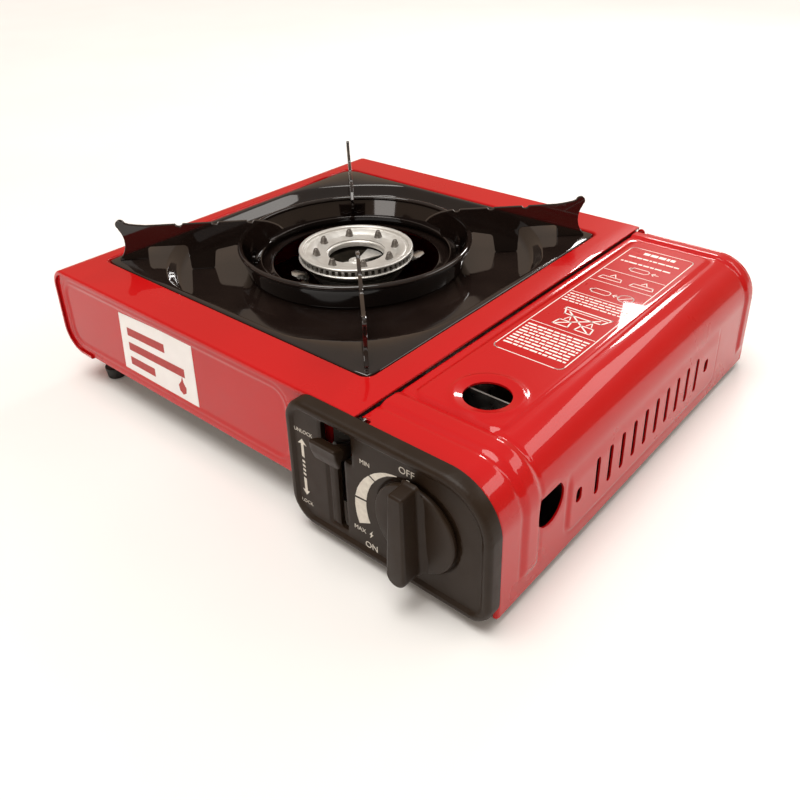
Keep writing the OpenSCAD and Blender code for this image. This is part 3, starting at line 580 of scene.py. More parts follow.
def coverLift(c, s, y):
    y = y - coverLow.y
    flat, bend, total = coverDistances(c)
    x = coverLow.x + s
    z = coverHigh.z - c["shoulder"] - (s - bend)
    level = -c["beadRise"]
    # beads that run across near both ends, fading before the lower edge
    fade = 1 - smooth(s, total - 14, total - 8)
    for at, half in ((c["beadAt"], c["beadHalf"]), (c["backBeadAt"], c["beadHalf"] - 1.5)):
        d = abs(y - at)
        if d < half + 3:
            level += c["beadRise"] * fade * (1 - smooth(d, half * 0.45, half))
            level -= 0.45 * fade * crease(d - half - 0.4, 0.9)
    # raised field on the top
    if s < flat + 8:
        field = midHalf(c["fieldLeft"], c["fieldRight"], c["fieldFront"], c["fieldBack"])
        d = boxDistance(x, y, *field, c["corner"])
        level += c["fieldRise"] * (1 - smooth(d, -2.6, 0)) - 0.35 * crease(d - 0.5, 0.9)
        ringAt = circleDistance(x, y, c["topHole"][:2], 0)
        level += c["ringRise"] * crease(ringAt - c["ringRadius"], 1.7)
        level -= 0.5 * (1 - smooth(ringAt, c["topHole"][2], c["topHole"][2] + 2.0))
    # pressed panel round the slots on the side
    if s > bend - 6:
        field = midHalf(c["panelFront"], c["panelBack"], c["panelLow"], c["panelHigh"])
        d = boxDistance(y, z, *field, c["corner"])
        strength = 1 - smooth(z, 40, 50)
        level += c["panelPress"] * strength * (1 - smooth(d, -2.4, 0))
        level -= 0.3 * strength * crease(d - 0.5, 0.9)
        level -= 0.25 * (1 - smooth(circleDistance(y, z, c["sideHole"][:2], c["sideHole"][2]), 0, 1.6))
    # rounded outer edges
    ends = max(min(y, coverHigh.y - coverLow.y - y), 0)
    level -= max(rounding(ends, c["edgeRound"]), rounding(max(s, 0), 0.4), rounding(max(total - s, 0), 0.8))
    return level


def coverRoom(c, s, y):
    y = y - coverLow.y
    flat, bend, _ = coverDistances(c)
    x = coverLow.x + s
    z = coverHigh.z - c["shoulder"] - (s - bend)
    found = 1e3
    if s < flat:
        found = min(found, circleDistance(x, y, c["topHole"][:2], c["topHole"][2]))
        for end in (0, coverHigh.y - coverLow.y):
            found = min(found, boxDistance(x, y, (coverLow.x, end), c["earNotch"], 0.6))
    if s > bend:
        found = min(found, circleDistance(y, z, c["sideHole"][:2], c["sideHole"][2]))
        slot = round((y - c["slotFirst"]) / c["slotPitch"])
        slot = min(max(slot, 0), c["slotCount"] - 1)
        middle = (c["slotFirst"] + slot * c["slotPitch"], (c["slotLow"] + c["slotHigh"]) / 2)
        size = (c["slotWide"] / 2, (c["slotHigh"] - c["slotLow"]) / 2)
        found = min(found, boxDistance(y, z, middle, size, c["slotWide"] / 2 - 0.2))
        for at in c["smallHoles"]:
            found = min(found, boxDistance(y, z, (at, middle[1]), c["smallSize"], c["smallSize"][0] - 0.1))
    return found


def makeCover(c):
    flat, bend, total = coverDistances(c)
    cell, fine = c["cell"], c["fineCell"]
    us = gridLines(0, flat, cell, [0], fine, 1) + gridLines(flat, bend, c["bendCell"])[1:]
    us += gridLines(bend, total, cell, [total], fine, 1)[1:]
    vs = gridLines(coverLow.y, coverHigh.y, cell, [coverLow.y, coverHigh.y], fine, 2)
    bm = bmesh.new()
    pressedSheet(bm, us, vs, lambda s, y: coverPoint(c, s, y), lambda s, y: coverLift(c, s, y),
                 lambda s, y: coverRoom(c, s, y), lambda s, y: c["thick"])
    makePiece("cartridgeCover", bm, "redEnamel", "cover", ("cartridge_cover",))


panShape = {
    "dishRadius": 117.5, "dishHalf": 106.6, "dishBlend": 6, "corner": 4.5, "holeRadius": 52.8,
    "lipRise": 1.8, "wallWide": 9.0, "thick": 0.9, "skirt": 5.0, "edgeRound": 1.1,
    # the dish's wall: share of its width inwards, share of its depth
    "wall": [(0, 0), (0.04, -0.02), (0.10, -0.09), (0.2, -0.22), (0.45, -0.62), (0.62, -0.83),
             (0.76, -0.94), (0.9, -0.99), (1.0, -1.0)],
}


def softMin(a, b, width):
    h = max(width - abs(a - b), 0) / width
    return min(a, b) - h * h * width / 4


def makeDripPan(p):
    half, top, floor = (panHigh.x - panLow.x) / 2, panHigh.z, ringLow.z
    hole, lip, corner, edge = p["holeRadius"], floor + p["lipRise"], p["corner"], p["edgeRound"]
    turns = []
    for quarter in range(4):
        for k in range(48):
            share = k / 48
            eased = share + 0.10 * sin(4 * pi * share) / 2      # closer near the corners
            turns.append(radians(90 * quarter + 90 * eased))
    dish = [softMin(p["dishRadius"], p["dishHalf"] / max(abs(cos(t)), abs(sin(t))),
                    p["dishBlend"]) for t in turns]
    upper = [[(r, t, z) for t in turns] for r, z in (
        (hole, lip), (hole + 1.2, lip - 0.1), (hole + 3.2, floor + 0.25), (hole + 5, floor),
        (75, floor), (90, floor))]
    upper += [[(d - share * p["wallWide"], t, top + rise * (top - floor)) for t, d in zip(turns, dish)]
              for share, rise in reversed(p["wall"])]
    for share in (0.5, 1):
        reach = [squareReach(t, half - edge, corner - edge) for t in turns]
        upper.append([(d + (r - d) * share, t, top) for t, d, r in zip(turns, dish, reach)])
    for angle in (30, 60, 90):
        inset = edge * (1 - sin(radians(angle)))
        z = top - edge * (1 - cos(radians(angle)))
        upper.append([(squareReach(t, half - inset, corner - inset), t, z) for t in turns])
    upper.append([(squareReach(t, half, corner), t, top - p["skirt"]) for t in turns])
    lower = []
    for k, ring in enumerate(upper):
        inward, down = (p["thick"], 0) if k >= len(upper) - 2 else (0, p["thick"])
        lower.append([(r - inward, t, z - down) for r, t, z in ring])
    bm = bmesh.new()
    loft(bm, [[aroundBurner(*at) for at in ring] for ring in upper + lower[::-1] + [upper[0]]])
    makePiece("dripPan", bm, "blackEnamel", "pan", ("drip_pan",))


ringShape = {
    "roll": 1.6, "footRadius": 68.4, "lipRadius": 60.5, "thick": 1.2, "lipRise": 5.5,
    "outerBend": 1.8, "innerBend": 1.6,
}


def makeWindRing(r):
    outer = ringHigh.x - burnerX
    floor = ringLow.z + 0.05
    rim = (outer - r["roll"], ringHigh.z - r["roll"])
    ledge = floor + r["lipRise"]
    foot, lip, thick = r["footRadius"], r["lipRadius"], r["thick"]
    bend, tight = r["outerBend"], r["innerBend"]
    profile = arc(rim, r["roll"], 235, -50, 20)
    profile += [(outer - 2.1, rim[1] - 5)]
    profile += arc((foot - tight, floor + bend), bend, -10, -90, 6)
    profile += arc((lip + thick + bend, floor + bend), bend, -90, -150, 6)
    profile += arc((lip - thick / 2 + 0.2, ledge), thick / 2, -160, -340, 8)
    profile += arc((lip + 2 * thick + tight, floor + thick + tight), tight, 200, 270, 5)
    profile += arc((foot - thick - tight, floor + thick + tight), tight, 270, 350, 5)
    bm = bmesh.new()
    spin(bm, profile, (burnerX, burnerY), 192)
    makePiece("windRing", bm, "blackEnamel", "pan", ("wind_ring",))


supportShape = {
    "thick": 2.2, "crest": 14.1, "notches": (64.2, 86, 108), "notchRadius": 2.4, "tipRadius": 2.9,
    "edge": 0.4, "sharp": 15, "turns": [("right", 45), ("back", 135), ("left", 225), ("front", 315)],
}


def supportOutline(s):
    top, crest, floor = wrapHigh.z, ringHigh.z + s["crest"], ringLow.z
    ledge = floor + ringShape["lipRise"]
    points = [(44.3, top + 14.5), (47, top + 17), (50, top + 18.7), (54, top + 20.2), (58, crest - 0.6)]
    for at in s["notches"]:
        points += arc((at, crest + 0.9), s["notchRadius"], 202, 338, 8)
    points += [(128, crest), (134, crest + 0.7), (138, crest + 1.4)]
    points += arc((143.2, crest + 1.5), s["tipRadius"], 165, -50, 12)
    points += arc((157.5, top + 11.5), 15.2, 149, 225, 14)
    points += [(147.0, panHigh.z + 0.05), (129.5, panHigh.z + 0.05)]
    points += arc((126.6, top + 5), 2.5, 0, 90, 5)
    points += arc((107, top + 4.8), 2.6, 90, 180, 5)
    points += [(104, floor + 1), (103, floor + 0.05), (90.5, floor + 0.05), (89.5, floor + 1)]
    points += arc((85, top + 0.6), 3.0, 5, 75, 5)
    points += [(75, top + 5.6), (72, top + 5), (67.8, floor + 1.3), (64, floor + 1.3)]
    points += [(63.2, ledge + 1.4), (57, top + 3)]
    points += arc((60, top + 8), 6.5, 220, 170, 5)
    return points


def makeSupports(s):
    outline = supportOutline(s)
    for name, turn in s["turns"]:
        c, n = cos(radians(turn)), sin(radians(turn))

        def place(u, v, depth):
            side = depth - s["thick"] / 2
            return (burnerX + u * c - side * n, burnerY + u * n + side * c, v)

        bm = bmesh.new()
        slab(bm, outline, place, s["thick"])
        makePiece("potSupport_" + name, bm, "blackEnamel", "pan",
                  ("support_" + name,), bevel=s["edge"], sharp=s["sharp"])


burnerShape = {
    "rim": 36.3, "rimThick": 2.1, "bore": 17.6, "band": 3.3, "teeth": 54, "toothShare": 0.46,
    "studs": 8, "studAt": 25.4, "studStart": 8, "studRise": 1.2, "studRoot": 6.4,
    "wingTurn": 86, "wingSpan": 46, "wingThick": 1.2, "hub": 3.2,
    # bright tabs: name, turn, near end, far end, half width, height, rise of the tip
    "tabs": [("electrodeShield", 232, 31.5, 42.0, 5.8, 59.5, 2.6),
             ("burnerLug", 48, 33.2, 43.5, 5.0, 65.0, 3.4)],
    # electrode: lean towards the burner, then distance along it and radius
    "lean": 0.62, "wire": [(-4, 0.7), (19.6, 0.7), (22.4, 0.45)],
    "ceramic": [(0, 2.2), (0.5, 2.7), (6, 2.7), (6.3, 3.6), (7.6, 3.6), (7.9, 3.1), (9.4, 3.1),
                (9.7, 3.6), (11.0, 3.6), (11.4, 3.1), (17.6, 2.7), (18.2, 2.3)],
}


def makeBurnerHead(b):
    outer, top, bore, middle = b["rim"], headHigh.z, b["bore"], (burnerX, burnerY)
    under = top - b["rimThick"]
    foot = under - b["band"]
    face = arc((outer - 0.9, top - 1.0), 0.9, -70, 90, 8)
    face += arc((outer - 2.3, top - 0.9), 0.8, 90, 175, 4)
    face += [(outer - inward, top - down) for inward, down in (
        (3.4, 1.7), (4.2, 1.9), (5.0, 1.5), (6.4, 1.7), (9, 2.6), (12, 3.9))] + [(bore + 3.6, top - 5.4)]
    face += arc((bore + 1.3, top - 5.6), 1.3, 60, 180, 8)
    face += [(bore, foot - 2.4), (bore + 1.2, foot - 2.4), (bore + 1.2, under - 1.4),
             (outer - 5, under - 0.8), (outer - 1.4, under)]
    bm = bmesh.new()
    spin(bm, face, middle, 144)
    # lower dish: a lip under the teeth, then the body that narrows to the cup
    body = [(4.4, foot + 0.4), (0.5, foot + 0.4), (-0.1, foot - 0.1), (0.3, foot - 0.8), (3.0, foot - 1.2),
            (6.5, foot - 3.4), (9, headLow.z - 3), (10, headLow.z - 3), (8, foot - 2.8)]
    spin(bm, [(outer - inward, z) for inward, z in body], middle, 144)
    # dark ring behind the teeth: painted shade standing in for the shade inside the flame slots
    portShade = bmesh.new()
    spin(portShade, [(outer - 4.4, foot), (outer - 2.1, foot), (outer - 2.1, under), (outer - 4.4, under)],
         middle, 144)
    makePiece("portShadeRing", portShade, "darkMetalAndPaintedShade", "root")
    # teeth between the flame slots
    half = pi / b["teeth"] * b["toothShare"]
    for k in range(b["teeth"]):
        turn = 2 * pi * k / b["teeth"]
        loft(bm, [[aroundBurner(outer - inward, turn + t, z) for inward, t in (
            (3.8, -half), (reach, -half * 0.9), (reach, half * 0.9), (3.8, half))]
            for z, reach in ((foot + 0.2, 1.0), (foot + 0.9, 0.8), (under - 0.8, 1.1),
                             (under + 0.4, 1.5))], caps=True)
    makePiece("burnerHead", bm, "burnerAluminium", "root", ("burner_head",))


def makeStuds(b):
    bm = bmesh.new()
    tip, base = headHigh.z + b["studRise"], headHigh.z - b["studRoot"]
    profile = [(0.0, base), (3.5, base), (3.4, base + 1.8), (3.1, base + 2.4), (2.5, base + 3.6),
               (2.1, base + 5.2), (1.95, base + 6.0), (1.5, tip - 0.9), (1.35, tip - 0.2), (1.1, tip),
               (0.75, tip), (0.62, tip - 0.2), (0.6, tip - 1.6), (0.0, tip - 1.6)]
    for k in range(b["studs"]):
        turn = radians(b["studStart"] + 360 * k / b["studs"])
        at = (burnerX + b["studAt"] * cos(turn), burnerY + b["studAt"] * sin(turn))
        spin(bm, profile, at, 28)
    makePiece("burnerStuds", bm, "studSteel", "root", ("burner_studs",))


# winged cross-piece in the burner's bore, with a screw in its middle
def makeBridge(b):
    z = boxMm("burner_bridge")[1].z - 0.2
    hub, reach, middle = b["hub"], b["bore"] + 0.3, (burnerX, burnerY)
    bm = bmesh.new()
    for side in (0, 180):
        turn, half = radians(b["wingTurn"] + side), radians(b["wingSpan"]) / 2
        outline = [(hub, turn - 1.0), (hub, turn - 0.5)]
        outline += [(reach, turn + half * k / 6) for k in range(-6, 7)]
        outline += [(hub, turn + 0.5), (hub, turn + 1.0)]
        slab(bm, [(r * cos(a), r * sin(a)) for r, a in outline],
             lambda u, v, d: (burnerX + u, burnerY + v, z - d + 0.05 * hypot(u, v)), b["wingThick"])
    spin(bm, [(0, z + 0.5), (4.6, z + 0.5), (5.2, z + 0.1), (5.2, z - 1.4), (0, z - 1.4)], middle, 48)
    spin(bm, [(0, z + 1.2), (1.2, z + 1.2), (2.3, z + 0.8), (2.5, z + 0.2), (0, z + 0.2)], middle, 32)
    makePiece("burnerBridge", bm, "burnerAluminium", "root", ("burner_bridge",),
              bevel=0.2)


# bright sheet tabs beside the burner: the electrode's shield and the fixing lug
def makeBurnerTabs(b):
    for name, turn, near, far, wide, z, tip in b["tabs"]:
        c, n = cos(radians(turn)), sin(radians(turn))
        bm = bmesh.new()
        outline = [(near, -wide * 0.8), (far - 3, -wide), (far, -wide + 3), (far, wide - 3),
                   (far - 3, wide), (near, wide * 0.8)]
        loft(bm, [[(burnerX + u * c - v * n, burnerY + u * n + v * c, z - d + tip * smooth(u, near, far))
                   for u, v in outline] for d in (0, 1)], caps=True)
        makePiece(name, bm, "brightSteel", "root", bevel=0.25)


# ceramic that leans from its bracket towards the burner, and its wire
def makeElectrode(b):
    low, high = boxMm("electrode_ceramic")
    base = Vector(((low.x + high.x) / 2, (low.y + high.y) / 2, low.z))
    inward = (Vector((burnerX, burnerY, 0)) - Vector((base.x, base.y, 0))).normalized()
    along = (inward * b["lean"] + Vector((0, 0, 1))).normalized()
    side = Vector((0, 0, 1)).cross(inward).normalized()
    across = along.cross(side).normalized()

    def tube(steps, count):
        bm = bmesh.new()
        turns = [2 * pi * i / count for i in range(count)]
        loft(bm, [[base + along * t + side * (r * cos(a)) + across * (r * sin(a))
                   for a in turns] for t, r in steps], caps=True)
        return bm

    makePiece("electrodeCeramic", tube(b["ceramic"], 28), "glazedCeramic", "root",
              ("electrode_ceramic",))
    makePiece("electrodePin", tube(b["wire"], 12), "studSteel", "root", ("electrode_pin",))


panelShape = {
    "corners": (26, 12, 15, 11),     # top right, top left, bottom left, bottom right
    "rim": 4.2, "rimRound": 2.6, "sunk": 1.6, "wall": 2.5, "cell": 0.75,
    "window": ((82, 62), (9.4, 8), 1.2), "groove": ((83.9, 34.5), (2.6, 21.5), 1.0),
    "strip": ((79.0, 34.5), (3.1, 21), 0.8), "stripTop": 54, "stemHole": 4.5, "knobSeat": 23.3,
}


# signed distance to the panel's outline, which has four corner radii
def panelEdge(p, x, z):
    middle, half = midHalf(panelLow.x, panelHigh.x, panelLow.z, panelHigh.z)
    right, up = x > middle[0], z > middle[1]
    radius = p["corners"][0 if right and up else 1 if up else 3 if right else 2]
    return boxDistance(x, z, middle, half, radius)


def makePanel(p):
    front, back = panelLow.y, panelHigh.y

    def stem(x, z):
        return circleDistance(x, z, knobMiddle, p["stemHole"])

    def room(x, z):
        return min(-panelEdge(p, x, z), boxDistance(x, z, *p["window"]), boxDistance(x, z, *p["groove"]),
                   stem(x, z))

    def lift(x, z):
        d = -panelEdge(p, x, z)
        level = -rounding(max(d, 0), p["rimRound"])
        level -= p["sunk"] * smooth(d, p["rim"] - 0.7, p["rim"] + 1.2)
        strip = boxDistance(x, z, *p["strip"])
        if z < p["stripTop"]:
            level -= 0.9 * crease(strip, 0.75) + 0.25 * (1 - smooth(strip, -1, 0))
        level -= 0.5 * crease(max(boxDistance(x, z, *p["window"]), 0), 0.7)
        level -= 0.5 * crease(max(boxDistance(x, z, *p["groove"]), 0), 0.6)
        return level - 0.9 * (1 - smooth(stem(x, z) + p["stemHole"], p["knobSeat"] - 0.7, p["knobSeat"]))

    def thick(x, z):
        rim = -panelEdge(p, x, z) < p["wall"]
        return (back - front) + lift(x, z) if rim else p["wall"]

    us = gridLines(panelLow.x, panelHigh.x, p["cell"])
    vs = gridLines(panelLow.z, panelHigh.z, p["cell"])
    bm = bmesh.new()
    pressedSheet(bm, us, vs, onFront(front), lift, room, thick)
    makePiece("controlPanel", bm, "panelPlastic", "root", ("control_panel",))


knobShape = {
    "disc": 21.9, "discThick": 2.7, "edge": 1.0, "low": 23.4, "high": 25.2, "lowHalf": 5.3,
    "highHalf": 3.9, "highRound": 1.4, "flare": 3.6, "tipRound": 1.5, "slope": 1.05,
}


# the grip seen from the front: a full round at the bottom, narrower and squarer at the top
def gripOutline(k, grow):
    outline = arc((0, -k["low"] + k["lowHalf"]), k["lowHalf"] + grow, 180, 360, 16)
    for side, start in ((1, 0), (-1, 90)):
        outline += arc((side * (k["highHalf"] - k["highRound"]), k["high"] - k["highRound"]),
                       k["highRound"] + max(grow, -1.0), start, start + 90, 6)
    return outline


def makeKnob(k):
    x, z = knobMiddle
    back, tip, disc, edge, flare = knobHigh.y, knobLow.y, k["disc"], k["edge"], k["flare"]
    face = back - k["discThick"]
    bm = bmesh.new()
    profile = [(0, back), (disc - 0.6, back), (disc, back - 0.6)]
    profile += arc((disc - edge, face + edge), edge, 0, -90, 3)
    profile += [(16, face + 0.2), (10, face), (0, face)]
    turns = [2 * pi * i / 96 for i in range(96)]
    loft(bm, [[(x + r * cos(t), y, z + r * sin(t)) for t in turns] for r, y in profile])
    # grip: outlines stacked from the flare at the disc to the rounded tip
    deep = face - tip
    levels = [(-0.6, flare)]
    for t in (12, 28, 45, 62, 78, 90):
        c, s = cos(radians(t)), sin(radians(t))
        levels.append((flare * (1 - c) * 0.9, flare * (1 - s)))
    for t in (0, 22, 45, 68, 90):
        c, s = cos(radians(t)), sin(radians(t))
        levels.append((deep - k["tipRound"] * (1 - s), -k["tipRound"] * (1 - c)))
    rings = []
    for rise, grow in levels:
        ring = []
        for u, v in gripOutline(k, grow):
            over = hypot(u, v) / (disc - 0.4)
            if rise < 0.5 and over > 1:      # the flare stays on the disc
                u, v = u / over, v / over
            sink = k["slope"] * rise / deep * smooth(v, 8, 26)      # the front slopes back at the top
            ring.append((x + u, face - rise + sink, z + v))
        rings.append(ring)
    loft(bm, rings, caps=True)
    makePiece("controlKnob", bm, "panelPlastic", "knob", ("control_knob",), sharp=34)


leverShape = {
    "tilt": 24, "neckHalf": 1.7, "neckAt": 83.9, "neck": [(33.5, 3.4), (45.6, 3.6)], "paddleHalf": 8.2,
    # paddle: a wedge, flat on top, whose underside rises to a thin nose
    # distance from the pivot, share of the width, upper and lower height
    "paddle": [(44.6, 0.95, 4.1, -5.2), (45.0, 1.0, 4.4, -5.4), (47.0, 1.0, 4.5, -3.4),
               (49.2, 0.99, 4.4, -0.8), (50.5, 0.96, 4.2, 1.8), (51.3, 0.92, 3.9, 2.5),
               (51.6, 0.88, 3.5, 2.9)],
}


def makeLever(v):
    joints = frame["record"]["behaviour"]["joints"]
    pivot = next(Vector(j["pos_m"]) / mm for j in joints if j["name"] == "lever_turn")
    low, high = boxMm("lever_handle")
    middle = (low.x + high.x) / 2
    c, s = cos(radians(v["tilt"])), sin(radians(v["tilt"]))

    def place(x, u, w):
        return (x, pivot.y - u * c + w * s, pivot.z + u * s + w * c)

    bm = bmesh.new()
    loft(bm, [[place(v["neckAt"] + a * v["neckHalf"], u, b * half)
               for a, b in ((-1, -1), (1, -1), (1, 1), (-1, 1))] for u, half in v["neck"]], caps=True)
    rings = []
    for u, wide, upper, lower in v["paddle"]:
        ring = []
        for i in range(40):
            across, up = cos(2 * pi * i / 40), sin(2 * pi * i / 40)
            across, up = copysign(abs(across) ** 0.22, across), copysign(abs(up) ** 0.3, up)
            ring.append(place(middle + v["paddleHalf"] * wide * across, u,
                              (upper + lower) / 2 + (upper - lower) / 2 * up))
        rings.append(ring)
    loft(bm, rings, caps=True)
    makePiece("leverHandle", bm, "panelPlastic", "lever", ("lever_handle",), bevel=0.3)


footShape = {
    "outline": [(0, 0.0), (4.6, 0.0), (5.4, 0.4), (5.7, 1.2), (6.0, 4.0), (6.4, 6.0), (6.45, 7.5), (0, 7.5)],
    "neck": 3.2, "inset": 6.5, "left": (15, 15), "right": (8, 9),      # left, right: from the front, the back
}


def makeFeet(f):
    low, high = boxMm("feet")
    joint = low.z + f["outline"][-1][1] - 0.1
    bm = bmesh.new()
    for x, ends in ((low.x + f["inset"], f["left"]), (high.x - f["inset"], f["right"])):
        for y in (wrapLow.y + ends[0], wrapHigh.y - ends[1]):
            spin(bm, [(r, low.z + z) for r, z in f["outline"]], (x, y), 40)
            spin(bm, [(0, joint), (f["neck"], joint), (f["neck"], high.z), (0, high.z)], (x, y), 32)
    makePiece("feet", bm, "footRubber", "root", ("feet",))


# a line of a given width as thin bars end to end
def stroke(bm, points, wide, place, deep, closed=False):
    pairs = list(zip(points, points[1:] + points[:1])) if closed else list(zip(points, points[1:]))
    for (u0, v0), (u1, v1) in pairs:
        length = hypot(u1 - u0, v1 - v0)
        if length < 1e-6:
            continue
        du, dv = (u1 - u0) / length * wide / 2, (v1 - v0) / length * wide / 2
        slab(bm, [(u0 - dv - du, v0 + du - dv), (u0 + dv - du, v0 - du - dv),
                  (u1 + dv + du, v1 - du + dv), (u1 - dv + du, v1 + du + dv)], place, deep)


def words(bm, text, at, size, place, deep):
    data = bpy.data.curves.new("words", "FONT")
    data.body, data.size, data.resolution_u = text, size, 3
    data.align_x = data.align_y = "CENTER"
    letters = addToScene("words", data)
    bpy.context.view_layer.update()
    flat = bpy.data.meshes.new_from_object(letters.evaluated_get(bpy.context.evaluated_depsgraph_get()))
    bpy.data.objects.remove(letters)
    firstVert, firstFace = len(bm.verts), len(bm.faces)
    bm.from_mesh(flat)
    bm.verts.ensure_lookup_table()
    bm.faces.ensure_lookup_table()
    faces = bm.faces[firstFace:]
    for v in bm.verts[firstVert:]:
        v.co = Vector(place(at[0] + v.co.x, at[1] + v.co.y, 0)) * mm
    raised = bmesh.ops.extrude_face_region(bm, geom=faces)
    moved = [v for v in raised["geom"] if isinstance(v, bmesh.types.BMVert)]
    step = (Vector(place(0, 0, deep)) - Vector(place(0, 0, 0))) * mm
    bmesh.ops.translate(bm, verts=moved, vec=step)
    bpy.data.meshes.remove(flat)


panelMarks = {
    "deep": 0.13,
    "words": [("UNLOCK", 61.0, 58.9, 2.9), ("LOCK", 59.6, 16.6, 2.9), ("MIN", 99.6, 59.6, 3.4),
              ("OFF", 123.6, 66.4, 5.0), ("MAX", 94.6, 19.4, 3.4), ("ON", 101.4, 12.2, 5.0)],
    "dot": ((124.3, 61.6), 1.25),
    # dial band: turn in degrees, inner radius, outer radius
    "band": [[(117, 23.7, 24.0), (124, 24.2, 25.2), (131, 24.9, 26.5), (138, 25.4, 27.7),
              (145, 26.0, 29.0), (152, 26.6, 30.2)],
             [(154, 26.8, 30.6), (161, 27.5, 32.0), (168, 28.1, 33.4), (175, 28.8, 34.8),
              (183, 29.5, 36.2)],
             [(185, 29.7, 36.5), (191, 30.2, 37.3), (197, 30.6, 37.9), (202, 30.9, 38.4),
              (207, 31.1, 38.7)]],
    "arrowAt": 59.6,
    "arrow": [[(0, 54.4), (-2.9, 51.2), (-0.85, 51.6), (-0.85, 44.2), (0.85, 43.6), (0.85, 51.6),
               (2.9, 51.2)],
              [(0, 21.0), (2.4, 24.0), (0.85, 23.7), (0.85, 31.0), (-0.85, 31.6), (-0.85, 23.7),
               (-2.4, 24.0)]],
    "dashes": (41.6, 39.0, 36.5, 34.0),
    "dash": [(-0.85, 0.5), (0.85, 0), (0.85, -1.2), (-0.85, -0.7)],
    "bolt": [(102.4, 22.0), (100.4, 19.4), (101.4, 19.5), (100.6, 17.0), (102.9, 19.9), (101.8, 19.8)],
}


def makePanelMarks(m):
    face = panelLow.y + panelShape["sunk"]

    def place(u, v, d):
        return (u, face + 0.05 - d, v)

    def onDial(r, turn):
        t = radians(turn)
        return knobMiddle[0] + r * cos(t), knobMiddle[1] + r * sin(t)

    bm = bmesh.new()
    for text, x, z, size in m["words"]:
        words(bm, text, (x, z), size, place, m["deep"])
    outlines = [arc(*m["dot"], 0, 345, 23)]
    for band in m["band"]:
        outlines.append([onDial(r, t) for t, r, _ in band] + [onDial(r, t) for t, _, r in band[::-1]])
    outlines += [[(m["arrowAt"] + u, v) for u, v in outline] for outline in m["arrow"]]
    outlines += [[(m["arrowAt"] + u, z + v) for u, v in m["dash"]] for z in m["dashes"]]
    for outline in outlines + [m["bolt"]]:
        slab(bm, outline, place, m["deep"])
    makePiece("panelMarks", bm, "printIvory", "root")


coverPrint = {
    # plain bars stand for lines of words; places along Y are from the cover's front edge
    "frame": (98.4, 90.6, 138.4, 245.2, 3.2), "line": 0.55, "deep": 0.06,
    "rules": (206.2, 188.8, 168.6, 125.3),
    "heading": (108.6, 128.6, 239.4, 3.2),
    "rows": [(102.3, 134.4, 231.6, 1.5), (101.4, 132.8, 223.0, 1.5)],
    "middleRows": [(99.8, 137.0, y, 1.1) for y in (165.6, 162.6, 159.6, 156.6)],
    "lowRows": [(100.4, 136.6, 121.4 - 2.9 * k, 1.3) for k in range(9)],
    "dash": (1.6, 5.2), "space": (0.5, 0.8),
    "cartridges": [(113.0, 214.6), (108.0, 176.8)], "stoves": [(128.5, 196.8), (109.0, 196.8)],
    "circle": (128.0, 177.0), "widePan": (120.5, 138.5),
}


def dashRow(bm, p, row, place, pick):
    left, right, at, tall = row
    u, low, high = left, at - tall / 2, at + tall / 2
    while u < right - 1:
        length = min(pick.uniform(*p["dash"]), right - u)
        slab(bm, [(u, low), (u + length, low), (u + length, high), (u, high)], place, p["deep"])
        u += length + pick.uniform(*p["space"])


def makeCoverPrint(p):
    pick = random.Random(5)
    top = coverHigh.z - coverSheet["beadRise"] + coverSheet["fieldRise"]
    bm = bmesh.new()

    def place(u, v, d):
        return (u, coverLow.y + v, top + 0.02 + d)

    def draw(at, points, closed=False, wide=1.0):
        points = [(at[0] + u, at[1] + v) for u, v in points]
        stroke(bm, points, p["line"] * wide, place, p["deep"], closed)

    left, front, right, back, corner = p["frame"]
    edge = []
    for x, y, start in ((right - corner, back - corner, 0), (left + corner, back - corner, 90),
                        (left + corner, front + corner, 180), (right - corner, front + corner, 270)):
        edge += arc((x, y), corner, start, start + 90, 6)
    draw((0, 0), edge, True)
    for at in p["rules"]:
        draw((0, at), [(left + 1, 0), (right - 1, 0)], wide=0.8)
    for row in [p["heading"]] + p["rows"] + p["middleRows"] + p["lowRows"]:
        dashRow(bm, p, row, place, pick)
    # cartridge: a barrel with a round end, and an arrow towards it
    for at in p["cartridges"]:
        draw(at, [(0, -2.6), (9, -2.6), (10.5, -1.2), (10.5, 1.2), (9, 2.6), (0, 2.6)], True)
        draw(at, [(-1.6, -1.2), (0, -1.2), (0, 1.2), (-1.6, 1.2)], True)
        draw(at, [(12.2, 0), (16.2, 0)])
        draw(at, [(13.8, 1.6), (12.2, 0), (13.8, -1.6)])
    # stove with a flame above it, then a crossed circle
    for at in p["stoves"]:
        draw(at, [(-7, -3), (7, -3), (6, 0.6), (-6, 0.6)], True)
        draw(at, [(-1.6, 1.8), (0, 5), (1.6, 1.8)])
    draw(p["circle"], arc((0, 0), 4.4, 0, 345, 23), True)
    draw(p["circle"], [(-3.1, -3.1), (3.1, 3.1)])
    # wide pan over two burners, crossed out
    at = p["widePan"]
    draw(at, [(-13.5, 11), (14, 11), (11, 4), (-10.5, 4)], True, 1.6)
    draw(at, [(-13.5, 8.6), (13, 8.6)])
    for side in (-6, 7):
        draw(at, [(side - 4.5, -9), (side + 4.5, -9), (side + 3.5, -3), (side - 3.5, -3)], True, 1.4)
        draw(at, [(side - 1.5, -1.5), (side, 2.5), (side + 1.5, -1.5)])
    draw(at, [(-9, -8), (9, 7)], wide=1.6)
    draw(at, [(-9, 7), (9, -8)], wide=1.6)
    makePiece("coverPrint", bm, "printWhite", "cover")


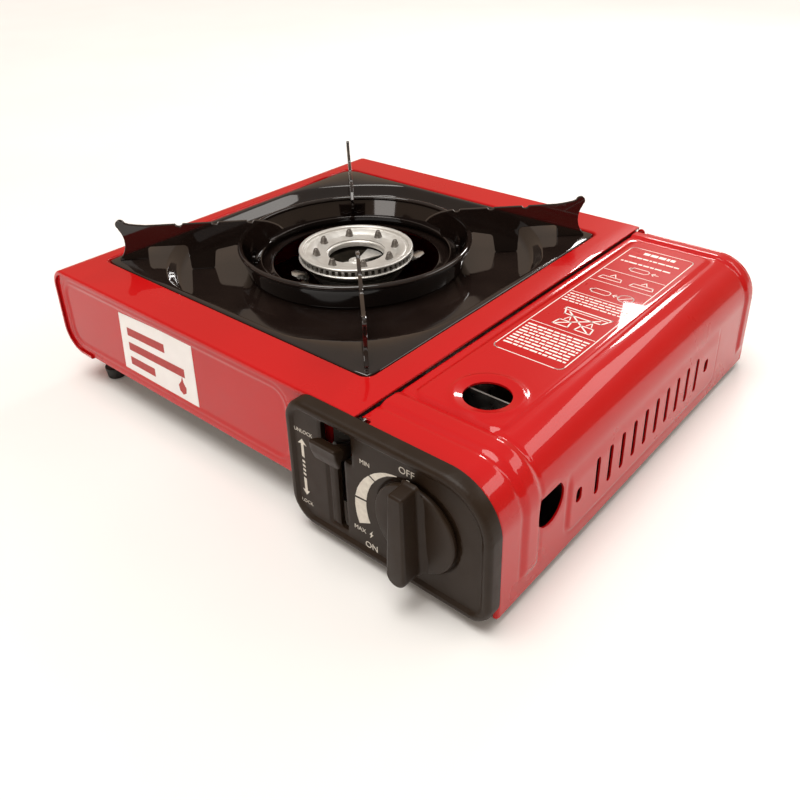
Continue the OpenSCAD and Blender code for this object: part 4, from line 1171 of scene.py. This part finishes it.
labelShape = {
    "corners": [(-100.6, 65.5), (-32.7, 68.1), (-34.0, 23.3), (-104.5, 24.0)], "deep": 0.14,
    # plain bars: start and end across, height, thickness, all as shares of the label
    "bars": [(0.10, 0.62, 0.74, 0.13), (0.10, 0.86, 0.50, 0.13), (0.10, 0.44, 0.26, 0.13)],
    "drop": [(0.80, 0.36), (0.76, 0.28), (0.77, 0.2), (0.81, 0.16), (0.85, 0.2), (0.86, 0.28),
             (0.83, 0.35), (0.82, 0.44)],
    "print": 0.07,
}


def makeLabel(b):
    face = plateLow.y + frontSheet["press"] * 0.8
    topLeft, topRight, lowRight, lowLeft = [Vector(at) for at in b["corners"]]

    def layer(bm, outline, start, deep):
        points = [lowLeft.lerp(lowRight, a).lerp(topLeft.lerp(topRight, a), c)[:] for a, c in outline]
        slab(bm, points, lambda u, v, d: (u, face - 0.02 - start - d, v), deep)

    bm = bmesh.new()
    layer(bm, [(0, 1), (1, 1), (1, 0), (0, 0)], 0, b["deep"])
    makePiece("plainLabel", bm, "labelVinyl", "root")
    bm = bmesh.new()
    for left, right, at, tall in b["bars"]:
        low, high = at - tall / 2, at + tall / 2
        layer(bm, [(left, low), (right, low), (right, high), (left, high)], b["deep"] - 0.02, b["print"])
    layer(bm, b["drop"], b["deep"] - 0.02, b["print"])
    makePiece("labelBars", bm, "labelRed", "root")


floorLook = {
    "half": 60000, "middle": 1500,      # mm
    "finish": ((0.88, 0.875, 0.865), (0.85, 0.845, 0.835), 4, (0.7, 0.85), 20, 300, 0.1, 0.05),
}


def makeFloor(f):
    bm = bmesh.new()
    lines = (-f["half"], -f["middle"], f["middle"], f["half"])
    loft(bm, [[(x, y, 0) for x in lines] for y in lines], closed=False)
    mesh = bpy.data.meshes.new("floor")
    bm.to_mesh(mesh)
    bm.free()
    floor = addToScene("floor", mesh)
    mesh.materials.append(surface("floorPale", *f["finish"]))


placeCamera(cameraSetup)
placeLights(lightSetup, sunSetup)
placeStudio(studioSky)
dressCad()
makeFloor(floorLook)
makeCaseWrap(wrapSheet)
makeFrontPlate(frontSheet)
print("case made")
makeCover(coverSheet)
print("cover made")
makeDripPan(panShape)
makeWindRing(ringShape)
makeSupports(supportShape)
print("hob made")
makeBurnerHead(burnerShape)
makeStuds(burnerShape)
makeBridge(burnerShape)
makeBurnerTabs(burnerShape)
makeElectrode(burnerShape)
print("burner made")
makePanel(panelShape)
makeKnob(knobShape)
makeLever(leverShape)
makeFeet(footShape)
print("controls made")
makePanelMarks(panelMarks)
makeCoverPrint(coverPrint)
makeLabel(labelShape)
print("marks made")
